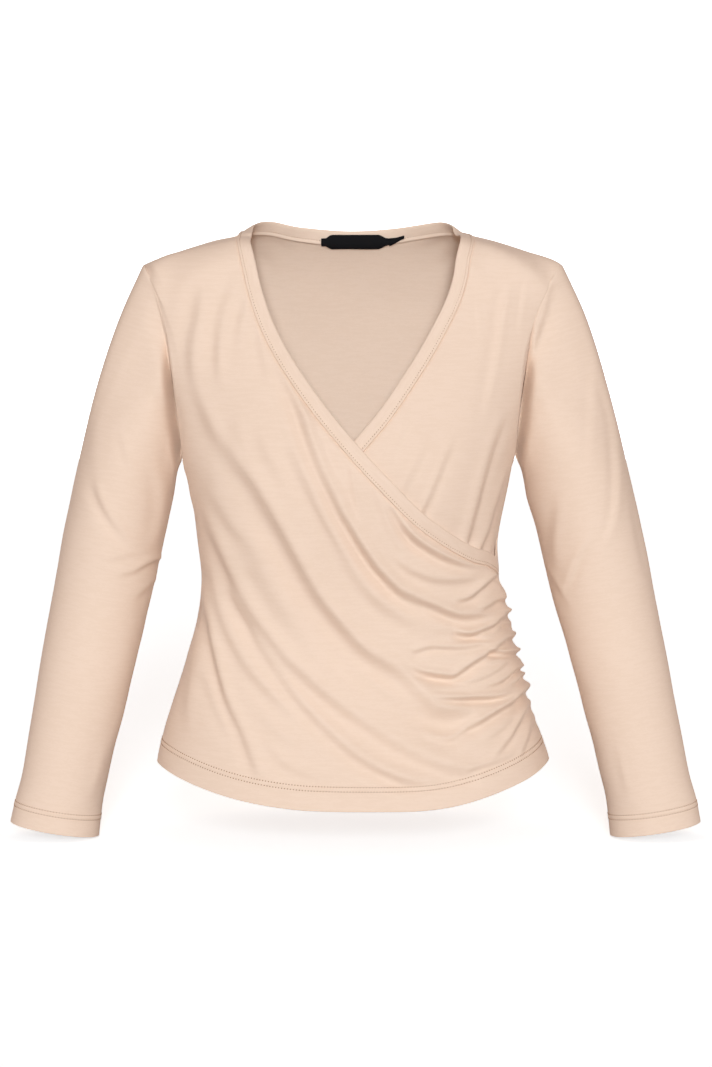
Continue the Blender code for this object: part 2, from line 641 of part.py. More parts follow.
def inset(net, edges):
    """Draw the named edges of a net in by half a seam gap, along the cloth."""
    net = net.copy()
    for edge in edges:
        view = {"first": net, "last": net[::-1], "start": net.transpose(1, 0, 2),
                "end": net.transpose(1, 0, 2)[::-1]}[edge]
        rim, inner = view[0].copy(), view[1].copy()
        along = unit(np.gradient(rim, axis=0))
        step = inner - rim
        step -= (step * along).sum(-1, keepdims=True) * along
        view[0] = rim + unit(step) * SEAM_GAP / 2
    return net


def edge_distance(net, edge):
    """How far each point of a net lies from one of its edges, along the net."""
    axis = 0 if edge in ("first", "last") else 1
    steps = np.linalg.norm(np.diff(net, axis=axis), axis=-1)
    zero = np.zeros_like(np.take(steps, [0], axis=axis))
    if edge in ("first", "start"):
        return np.concatenate([zero, np.cumsum(steps, axis=axis)], axis=axis)
    back = np.flip(np.cumsum(np.flip(steps, axis=axis), axis=axis), axis=axis)
    return np.concatenate([back, zero], axis=axis)


def faded(net, fade):
    """1 over a net, and down to 0 at its edges over the distances given."""
    share = np.ones(net.shape[:2])
    for edge, reach in fade._asdict().items():
        if reach:
            share *= ramp(edge_distance(net, edge), 0, reach)
    return share


def cover(places):
    """How far a place on the elevation lies under the overlap, from its free edge."""
    distance, _ = beside([OVERLAP_LEAD] + OVERLAP_SEAM + [OVERLAP_TRAIL],
                         places.reshape(-1, 2))
    return (BAND_WIDTH - distance).reshape(places.shape[:-1])


def underlap_offset(points):
    """How far the underlap lies inside the form."""
    under = cover(elevation(points))
    binding, behind, folds = [sink.depth * ramp(under, sink.start, sink.end)
                              for sink in (UNDER_BINDING, BEHIND_BINDING, BEHIND_FOLDS)]
    inland = ramp(np.abs(points[..., 1]), 0, UNDERLAP_SIDE_FADE)
    return -(binding + behind + folds * inland)


def front_right_net():
    seam = overlap_seam()
    sides = np.linspace(UNDERARM, SIDE_HEM_HEIGHT, SIDE_STEPS + 1)
    start = np.vstack([shoulder_seam(-1)[:-1], armhole(-1, FRONT_TURNS)[:-1],
                       side_seam(-1, sides)])
    end = left_seam(LEFT_RUNS[1:], finer=True)
    net = coons(seam, hem_line(-1, OVERLAP_STEPS), start, end)
    lift = OVERLAP_LIFT * faded(net, LIFT_FADE)
    folds = relief(OVERLAP_FOLDS + GATHERS, elevation(net)) * faded(net, OVERLAP_FADE)
    return net, lift + folds


def underlap_low_edge(start, end):
    """The underlap's hidden lower edge: across the front, then up to the left seam."""
    share = np.linspace(0, 1, COURSE_STEPS)
    turns = math.pi * (1 - share)
    x = np.where(turns > math.pi / 2, -start[0], end[0]) * np.cos(turns)
    z = start[2] + (end[2] - start[2]) * share ** 3
    y = -column(SECTIONS, "height", "front", z) * np.sin(turns)
    line = settle(np.stack([x, y, z], axis=-1))
    line[0], line[-1] = start, end
    return line


def front_left_net():
    rows = ARMHOLE_STEPS + UNDERLAP_SIDE_STEPS
    end = np.vstack([armhole(1, FRONT_TURNS)[:-1], left_seam(LEFT_RUNS[:1], finer=True)])
    start = underlap_seam(rows)
    corner = underlap_side(np.linspace(start[-1][2], UNDERLAP_EDGE, 5))
    low = underlap_low_edge(corner[-1], end[-1])
    last = even_steps(np.vstack([corner[:-1], low]), UNDERLAP_COLUMNS)
    first = even_steps(shoulder_seam(1), UNDERLAP_COLUMNS)
    net = coons(first, settle(last), start, end)
    places = elevation(net)
    folds = (relief(UNDERLAP_FOLDS, places) * faded(net, UNDERLAP_FADE)
             * (1 - ramp(cover(places), *UNDERLAP_FOLDS_END)))
    return net, underlap_offset(net) + folds


def back_net():
    sides = np.linspace(UNDERARM, SIDE_HEM_HEIGHT, BACK_SIDE_STEPS + 1)
    start = np.vstack([armhole(-1, BACK_TURNS)[:-1], side_seam(-1, sides)])
    end = np.vstack([armhole(1, BACK_TURNS)[:-1], left_seam(LEFT_RUNS, finer=False)])
    first = np.vstack([shoulder_seam(-1)[::-1][:-1], back_neck_seam()[:-1],
                       shoulder_seam(1)])
    net = coons(first, hem_line(1, len(first) - 1), start, end)
    places = np.stack([net[..., 0], -net[..., 2]], axis=-1)
    return net, relief(BACK_FOLDS, places) * faded(net, BACK_FADE)


# ------------------------------------------------------------------------ sleeves

def ring_points(ring, side, steps, count):
    """One ring of a sleeve, starting at its outer side and turning to the front."""
    across_step, down_step = steps
    axis = unit(np.array([across_step, 0, down_step]))
    out = np.array([-axis[2], 0, axis[0]])
    turns = np.linspace(0, 2 * math.pi, count, endpoint=False)[:, None]
    centre = np.array([ring.across, -ring.forward, ring.height])
    points = (centre + ring.half_width * np.cos(turns) * out
              - ring.half_depth * np.sin(turns) * np.array([0, 1, 0]))
    return points * (side, 1, 1), axis * (side, 1, 1)


def sleeve_net(side, rings):
    """Rings of points from the armhole down to the cuff, and how far folds move them."""
    turns = np.concatenate([FRONT_TURNS[:-1], BACK_TURNS[::-1][:-1] + 360])
    seam = armhole(side, turns)
    count = len(seam)
    along = unit(np.roll(seam, -1, axis=0) - np.roll(seam, 1, axis=0))
    leave = unit(np.cross(along, outward(seam)))
    leave *= np.where((leave[:, :1] * side) < 0, -1, 1)
    leave[:, 1] *= 1 - CAP_FLATTEN * ramp(-seam[:, 2], *CAP_FLAT_DOWN)
    tube = []
    for k, ring in enumerate(rings):
        before, after = rings[max(k - 1, 0)], rings[min(k + 1, len(rings) - 1)]
        steps = (after.across - before.across, after.height - before.height)
        points, axis = ring_points(ring, side, steps, count)
        if k == 0:
            upper, down = points, axis
        tube.append(points)
    span = np.linalg.norm(upper - seam, axis=1, keepdims=True)
    pull = unit(CAP_PULL * unit(leave) + CAP_FALL * down) * span
    caps = []
    for k in range(CAP_STEPS):
        t = k / CAP_STEPS
        caps.append(seam * (1 + 2 * t) * (1 - t) ** 2 + upper * t * t * (3 - 2 * t)
                    + pull * t * (1 - t) ** 2 - down * span * t * t * (1 - t))
    net = np.array(caps + tube)
    turn = np.tile(np.linspace(0, 360, count, endpoint=False), (len(net), 1))
    places = np.stack([turn, -net[..., 2]], axis=-1)
    wrapped = relief(SLEEVE_FOLDS, places) + relief(SLEEVE_FOLDS, places + (360, 0))
    return net, wrapped * ramp(-net[..., 2], *SLEEVE_FOLDS_START)


def tube_normals(net):
    """Outward normals of a tube of rings, whose first axis runs along it."""
    along = np.gradient(net, axis=0)
    around = np.roll(net, -1, axis=1) - np.roll(net, 1, axis=1)
    normals = unit(np.cross(along, around))
    middle = net.mean(axis=1, keepdims=True)
    sign = np.sign(((net - middle) * normals).sum(-1).mean())
    return normals * sign


def seam_normals(side):
    """The direction that a sleeve's and a torso's wall share along their armhole."""
    rings = RIGHT_RINGS if side < 0 else LEFT_RINGS
    net, _ = sleeve_net(side, rings)
    return unit(tube_normals(net)[0] + outward(net[0]))


# ------------------------------------------------------------------- making meshes

def new_object(name, points, triangles, material):
    mesh = bmesh.new()
    corners = [mesh.verts.new(point * MM) for point in points]
    for triangle in triangles:
        mesh.faces.new([corners[k] for k in triangle])
    bmesh.ops.recalc_face_normals(mesh, faces=mesh.faces)
    data = bpy.data.meshes.new(name)
    mesh.to_mesh(data)
    mesh.free()
    data.shade_smooth()
    data.set_sharp_from_angle(angle=SMOOTH_ANGLE)
    data.materials.append(material)
    thing = bpy.data.objects.new(name, data)
    bpy.context.collection.objects.link(thing)
    return thing


def wall(name, outer, inner, material, around=False):
    """A closed wall between two nets of points. A tube's nets close round on themselves."""
    rows, columns = outer.shape[:2]
    points = np.vstack([outer.reshape(-1, 3), inner.reshape(-1, 3)])
    under = rows * columns
    triangles = []
    for i in range(rows - 1):
        for j in range(columns if around else columns - 1):
            k = (j + 1) % columns
            a, b, c, d = (i * columns + j, i * columns + k, (i + 1) * columns + k,
                          (i + 1) * columns + j)
            if (np.linalg.norm(points[a] - points[c])
                    <= np.linalg.norm(points[b] - points[d])):
                halves = [(a, b, c), (a, c, d)]
            else:
                halves = [(a, b, d), (b, c, d)]
            for half in halves:
                triangles.append(half)
                triangles.append(tuple(under + v for v in reversed(half)))
    top = [j for j in range(columns)]
    bottom = [(rows - 1) * columns + j for j in range(columns)]
    if around:
        rims = [top + top[:1], bottom[::-1] + bottom[-1:]]
    else:
        right = [(i + 1) * columns - 1 for i in range(rows)]
        left = [i * columns for i in range(rows)]
        rims = [top + right[1:] + bottom[::-1][1:] + left[::-1][1:]]
    for rim in rims:
        for a, b in zip(rim, rim[1:]):
            triangles.append((b, a, under + a))
            triangles.append((b, under + a, under + b))
    return new_object(name, points, triangles, material)


def panel(name, net, offset, edges, rims, material):
    """One cloth panel: its net moved out by offset, with a wall behind it."""
    normals = outward(net)
    for rows, columns, shared in rims:
        normals[rows, columns] = shared
    outer = inset(net + normals * offset[..., None], edges)
    return wall(name, outer, outer - normals * WALL, material)


def make_front_right(material, armhole_normals):
    net, offset = front_right_net()
    rows = slice(SHOULDER_STEPS, SHOULDER_STEPS + ARMHOLE_STEPS + 1)
    shared = armhole_normals[:ARMHOLE_STEPS + 1]
    panel("front_right", net, offset, ("first", "start", "end"), [(rows, 0, shared)],
          material)


def make_front_left(material, armhole_normals):
    net, offset = front_left_net()
    rows = slice(0, ARMHOLE_STEPS + 1)
    shared = armhole_normals[:ARMHOLE_STEPS + 1]
    panel("front_left", net, offset, ("first", "start", "end", "last"),
          [(rows, -1, shared)], material)


def make_back(material, right_normals, left_normals):
    net, offset = back_net()
    rows = slice(0, ARMHOLE_STEPS + 1)
    back_half = [0] + list(range(len(right_normals) - 1, ARMHOLE_STEPS - 1, -1))
    panel("back", net, offset, ("first", "start", "end"),
          [(rows, 0, right_normals[back_half]), (rows, -1, left_normals[back_half])],
          material)


def make_sleeve(name, side, rings, material):
    net, folds = sleeve_net(side, rings)
    normals = tube_normals(net)
    normals[0] = seam_normals(side)
    outer = net + normals * folds[..., None]
    along = unit(np.roll(outer[0], -1, axis=0) - np.roll(outer[0], 1, axis=0))
    step = outer[1] - outer[0]
    step -= (step * along).sum(-1, keepdims=True) * along
    outer[0] += unit(step) * SEAM_GAP / 2
    wall(name, outer, outer - normals * WALL, material, around=True)


def band_line():
    """The binding's seam from the overlap's end, round the neck, to the underlap's end,
    with how far it stands out there and which way its free edge lies."""
    over = overlap_seam()
    reach = lengths(over)
    over_out = (OVERLAP_LIFT * ramp(reach, 0, LIFT_FADE.start)
                * ramp(reach[-1] - reach, 0, LIFT_FADE.end))
    under = underlap_seam(ARMHOLE_STEPS + UNDERLAP_SIDE_STEPS)
    neck = back_neck_seam()
    line = np.vstack([over[::-1], neck[1:-1], under])
    out = np.concatenate([over_out[::-1], np.zeros(len(neck) - 2), underlap_offset(under)])
    return line, out


def band_net():
    """The binding's section at each step: its outer face, free edge and inner face."""
    line, out = band_line()
    normals = outward(line)
    along = unit(np.gradient(line, axis=0))
    inwards = unit(np.cross(normals, along))
    wrong = ((NECK_MIDDLE - line) * inwards).sum(-1) < 0
    inwards[wrong] *= -1
    # Its first end is cut along the side seam, which it doesn't meet squarely.
    seam = side_seam(1, np.array([OVERLAP_END, OVERLAP_END + BAND_WIDTH]))
    turn = ramp(lengths(line), 0, 2 * BAND_WIDTH)[:, None]
    inwards = unit(inwards * turn + unit(seam[1] - seam[0]) * (1 - turn))
    line[0] += unit(line[1] - line[0]) * BAND_END_GAP
    sections = []
    for share in BAND_SHARES:
        spot = settle(line + inwards * (SEAM_GAP / 2 + share * BAND_WIDTH))
        sections.append((spot, outward(spot)))
    faces = []
    for (spot, way), crown in zip(sections, BAND_CROWNS):
        faces.append(spot + way * (out + BAND_OUT + crown)[:, None])
    tip = settle(line + inwards * BAND_WIDTH)
    faces.append(tip + outward(tip) * (out + 0.5 * (BAND_OUT - BAND_IN))[:, None])
    for spot, way in reversed(sections):
        faces.append(spot + way * (out - BAND_IN)[:, None])
    return np.array(faces).transpose(1, 0, 2)


def make_band(material):
    net = band_net()
    rows, columns = net.shape[:2]
    points = net.reshape(-1, 3)
    triangles = []
    for i in range(rows - 1):
        for j in range(columns):
            k = (j + 1) % columns
            a, b = i * columns + j, i * columns + k
            c, d = b + columns, a + columns
            triangles += [(a, b, c), (a, c, d)]
    for first, order in ((0, 1), ((rows - 1) * columns, -1)):
        for j in range(1, columns - 1):
            triangles.append((first, first + j, first + j + 1)[::order])
    new_object("neck_band", points, triangles, material)


def back_inside(across, height):
    """Points on the inner face of the back, at distances across and heights."""
    guess = np.stack([across, np.full_like(across, LABEL_BACK), height], axis=-1)
    spot = settle(guess)
    return spot, outward(spot)


def make_label(name, middle, width, top, tall, mitre, material):
    """A woven strip lying just inside the back, with mitred ends."""
    share = np.linspace(-0.5, 0.5, LABEL_COLUMNS)
    upper = np.stack([middle + share * width, np.full(LABEL_COLUMNS, top)], axis=-1)
    lower = np.stack([middle + share * (width - 2 * mitre),
                      np.full(LABEL_COLUMNS, top - tall)], axis=-1)
    net, ways = [], []
    for t in (0.0, 0.5, 1.0):
        row = upper * (1 - t) + lower * t
        spot, way = back_inside(row[:, 0], row[:, 1])
        net.append(spot)
        ways.append(way)
    net, ways = np.array(net), np.array(ways)
    face = net - ways * (BAND_IN + LABEL_GAP)
    wall(name, face, face - ways * LABEL_THICK, material)


def cloth_material(cloth):
    material = bpy.data.materials.new(cloth.name)
    material.use_nodes = True
    shader = material.node_tree.nodes["Principled BSDF"]
    shader.inputs["Base Color"].default_value = cloth.colour
    shader.inputs["Roughness"].default_value = cloth.roughness
    shader.inputs["Metallic"].default_value = 0.0
    return material


def main():
    for thing in list(bpy.data.objects):
        bpy.data.objects.remove(thing)
    jersey = cloth_material(JERSEY)
    woven = cloth_material(WOVEN_LABEL)
    right_normals, left_normals = seam_normals(-1), seam_normals(1)
    make_front_right(jersey, right_normals)
    make_front_left(jersey, left_normals)
    make_back(jersey, right_normals, left_normals)
    make_sleeve("sleeve_right", -1, RIGHT_RINGS, jersey)
    make_sleeve("sleeve_left", 1, LEFT_RINGS, jersey)
    make_band(jersey)
    make_label("label", LABEL_MIDDLE, LABEL_WIDTH, LABEL_TOP, LABEL_HEIGHT, LABEL_MITRE,
               woven)
    tag_middle = LABEL_MIDDLE + LABEL_WIDTH / 2 + SIZE_TAG_GAP + SIZE_TAG_WIDTH / 2
    make_label("size_tag", tag_middle, SIZE_TAG_WIDTH, LABEL_TOP, SIZE_TAG_HEIGHT, 0.0,
               woven)


main()
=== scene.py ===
import math
from collections import namedtuple

import bmesh
import bpy
import numpy as np
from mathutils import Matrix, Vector


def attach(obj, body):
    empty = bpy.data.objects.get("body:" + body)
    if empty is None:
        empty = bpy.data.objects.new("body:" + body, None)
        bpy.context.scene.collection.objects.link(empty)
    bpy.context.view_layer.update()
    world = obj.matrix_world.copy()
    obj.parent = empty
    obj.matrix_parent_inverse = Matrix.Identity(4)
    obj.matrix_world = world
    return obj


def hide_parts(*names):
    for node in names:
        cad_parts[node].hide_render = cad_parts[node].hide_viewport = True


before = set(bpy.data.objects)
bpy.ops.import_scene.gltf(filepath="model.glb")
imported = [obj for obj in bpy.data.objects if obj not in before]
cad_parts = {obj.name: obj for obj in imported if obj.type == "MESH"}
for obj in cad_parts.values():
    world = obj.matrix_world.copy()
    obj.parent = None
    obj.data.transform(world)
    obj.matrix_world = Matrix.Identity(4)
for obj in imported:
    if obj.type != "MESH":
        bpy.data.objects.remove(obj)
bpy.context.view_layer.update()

MM = 0.001


def table(kind, *rows):
    """A short table, whose rows have the named columns of their kind."""
    return [kind(*row) for row in rows]


# ---------------------------------------------------------------- sizes of the garment

CLOTH_THICK = 0.8
BAND_WIDTH = 14.0
OVERLAP_LIFT = 1.2       # the overlap rides over the underlap
EYE_DISTANCE = 3000.0
EYE_ELEVATION = math.radians(5.0)
EYE_ACROSS = 3.0
EYE_TARGET_DOWN = 310.5  # what it looks at, on the elevation
EYE_TARGET_HEIGHT = -308.9   # and in space
SIDE_HEM_HEIGHT = -535.0
HEM_DROP = 33.5          # of the hem's middle below its sides
HEM_POWERS = (2.7, 2.4)  # the higher, the narrower its low part: right and left, in front
BACK_HEM_POWER = 2
HEM_SAG = 2.6            # the overlap hangs a little lower here
HEM_SAG_AT = 92.0
HEM_SAG_WIDTH = 48.0
HEM_DEPTH = 118.0
UNDERARM = -236.0
ARMHOLE_CENTRE = -140.0
ARMHOLE_REACH = 160.0
OVERLAP_END = -347.0     # where the overlap's binding meets the left side seam
UNDERLAP_BOUND = -348.0  # where the underlap's meets the right one
UNDERLAP_EDGE = -392.0   # how far down the underlap reaches there
UNDERLAP_SHORT = 4.0     # it ends this far in front of that seam
ROUNDING = 18.0          # of the torso, between its sides and its shoulders
ROOF_BEND = 0.0046       # how fast the shoulders fall away to the front and the back
SQUARENESS = 2.45        # 2 would make each section an ellipse

# How far the underlap sinks, from start to end of its way in under the overlap's edge.
Sink = namedtuple("Sink", "depth start end")
UNDER_BINDING = Sink(2.1, -22, -2)
BEHIND_BINDING = Sink(1.2, 0, 14)
BEHIND_FOLDS = Sink(8.5, 8, 60)
UNDERLAP_SIDE_FADE = 16.0
UNDERLAP_FOLDS_END = (4.0, 40.0)

# Over how far a relief dies out towards three edges of a net.
Fade = namedtuple("Fade", "start end first")
LIFT_FADE = Fade(30, 14, 0)
OVERLAP_FADE = Fade(16, 4, 7)
GATHER_FADE = Fade(16, 0, 7)
UNDERLAP_FADE = Fade(5, 5, 0)
BACK_FADE = Fade(20, 8, 0)

FOLD_STRENGTH = 1.75
GATHER_STRENGTH = 1.3    # of the gathers, on top of that
FOLD_WIDER = 1.3         # of the overlap's folds
GATHER_WIDER = 1.15
GATHER_SEAM = 0.62       # share of the gathers that the seam holds down
GATHER_SEAM_WIDTH = 6.0
GATHER_WRAP = 10.0       # how far the gathers run round on to the back
PUFF = 3.8               # the gathered cloth fills out by this much beside its seam
PUFF_WIDTH = 24.0
PUFF_START = (340.0, 372.0)
PUFF_END = (520.0, 560.0)

# How finely the forms are worked out.
RELAX_ROUNDS = 2
RELAX_SWEEPS = 5
SPAN_STEPS = 16
COURSE_STEPS = 48
FOLD_REACH = 50.0
SETTLE_ROUNDS = 14
SETTLE_STEP = 12.0
HEM_ROUNDS = 6
SIGHT_REACH = (-200.0, 160.0)
SIGHT_STEPS = 361
HALVINGS = 40
MIN_SLOPE = 0.05
GRADIENT_STEP = 0.05

# Steps of the nets, and how many finer steps each is cut into.
SHOULDER_STEPS = 5
ARMHOLE_STEPS = 13
SIDE_STEPS = 32
OVERLAP_STEPS = 27
UNDERLAP_SIDE_STEPS = 16
UNDERLAP_CORNER_STEPS = 4
UNDERLAP_COLUMNS = 14
BACK_SIDE_STEPS = 26
BACK_NECK_STEPS = 12
Finer = namedtuple("Finer", "rows columns")
OVERLAP_FINER = Finer(4, 7)
UNDERLAP_FINER = Finer(7, 8)
BACK_FINER = Finer(5, 7)
SLEEVE_FINER = Finer(12, 6)
FINER_SEAM = (2, 3)      # rows beside a seam, or at a hem, and into how many each is cut again
FINER_HEM = (13, 4)
CORNER_REACH = 2.5       # steps of a net over which a corner of its seam dies out
FRONT_TURNS = np.linspace(90, 270, ARMHOLE_STEPS + 1)
BACK_TURNS = np.linspace(90, -90, ARMHOLE_STEPS + 1)

# How far the torso reaches each way at a height, its top at each distance across, and how far
# across the armholes lie.
Section = namedtuple("Section", "height right left front back")
SECTIONS = table(
    Section,
    (60, 262, 262, 42, 56),
    (0, 256, 256, 46, 64),
    (-40, 242, 240, 58, 82),
    (-70, 229, 224, 67, 92),
    (-100, 215, 205, 77, 98),
    (-140, 202, 191, 92, 101),
    (-190, 182, 173, 109, 101),
    (-235, 170, 160.5, 120, 97),
    (-255, 164.5, 156.5, 121, 94),
    (-275, 161, 152, 120, 91),
    (-315, 156, 145, 114, 83),
    (-356, 152, 147.5, 107, 78),
    (-396, 157, 154, 102, 79),
    (-436, 168, 164.5, 102, 84),
    (-477, 181, 174, 106, 93),
    (-517, 192.5, 187, 112, 103),
    (-537, 196.5, 195, 115, 107),
    (-600, 206, 205, 122, 115))
Ridge = namedtuple("Ridge", "across height")
RIDGE = table(
    Ridge, (0, 20), (50, 13), (90, 3), (101, -2.5), (114, -10), (139, -16.5), (172, -26.5),
    (206, -37.5), (240, -52))
Armhole = namedtuple("Armhole", "height right left")
ARMHOLE = table(
    Armhole, (-20, 216, 216), (-43, 206, 205), (-57, 198, 194), (-77, 191, 184), (-97, 186, 177.5),
    (-117, 183, 174), (-157, 178, 169), (-197, 173, 164), (-232, 170, 161), (-260, 169, 160))
# How far forward the left side seam lies.
SeamShift = namedtuple("SeamShift", "height forward")
LEFT_SEAM = table(
    SeamShift, (-200, 0), (-236, 0), (-290, 14), (-330, 28), (-350, 30), (-372, 20), (-400, 2),
    (-430, -9), (-470, -10), (-505, -5), (-536, 0), (-560, 0))

# Where the eye sees the bindings' seams, as (across, down), and the back neck's in space.
OVERLAP_SEAM = [
    (-114, 30), (-110, 49), (-105, 70), (-97, 95), (-85, 122), (-70, 148), (-53, 173), (-33, 200),
    (-1, 238), (27, 268), (60, 301), (87, 321), (107, 333), (122, 340), (134, 343),
]
OVERLAP_LEAD = (-100, 4)
OVERLAP_TRAIL = (150, 352)
UNDERLAP_SEAM = [
    (117, 38), (114, 57), (107, 80), (94, 107), (73, 144), (38, 196), (10, 229), (-22, 268),
    (-62, 308), (-104, 338),
]
BACK_NECK_SEAM = [
    (-107, 21, -11), (-90, 44, -13.5), (-52, 64, -17), (0, 72, -19), (52, 64, -17), (92, 44, -13.5),
    (110, 21, -11),
]
NECK_RIGHT = (-114, -20, -12)
NECK_LEFT = (117, 0, -12)

# ------------------------------------------------------------------------ fold tables

# A fold is a soft wall along a course: the cloth stands out on the left of the course's
# travel and in on its right. Slope is how steep it is on the course, and left and right are
# how far off the crest and the trough are. The course is (across, down, strength).
Fold = namedtuple("Fold", "name slope left right course")
# A groove is a soft valley along a course, with its own depth and width on either side.
Groove = namedtuple("Groove", "name depth left right course")

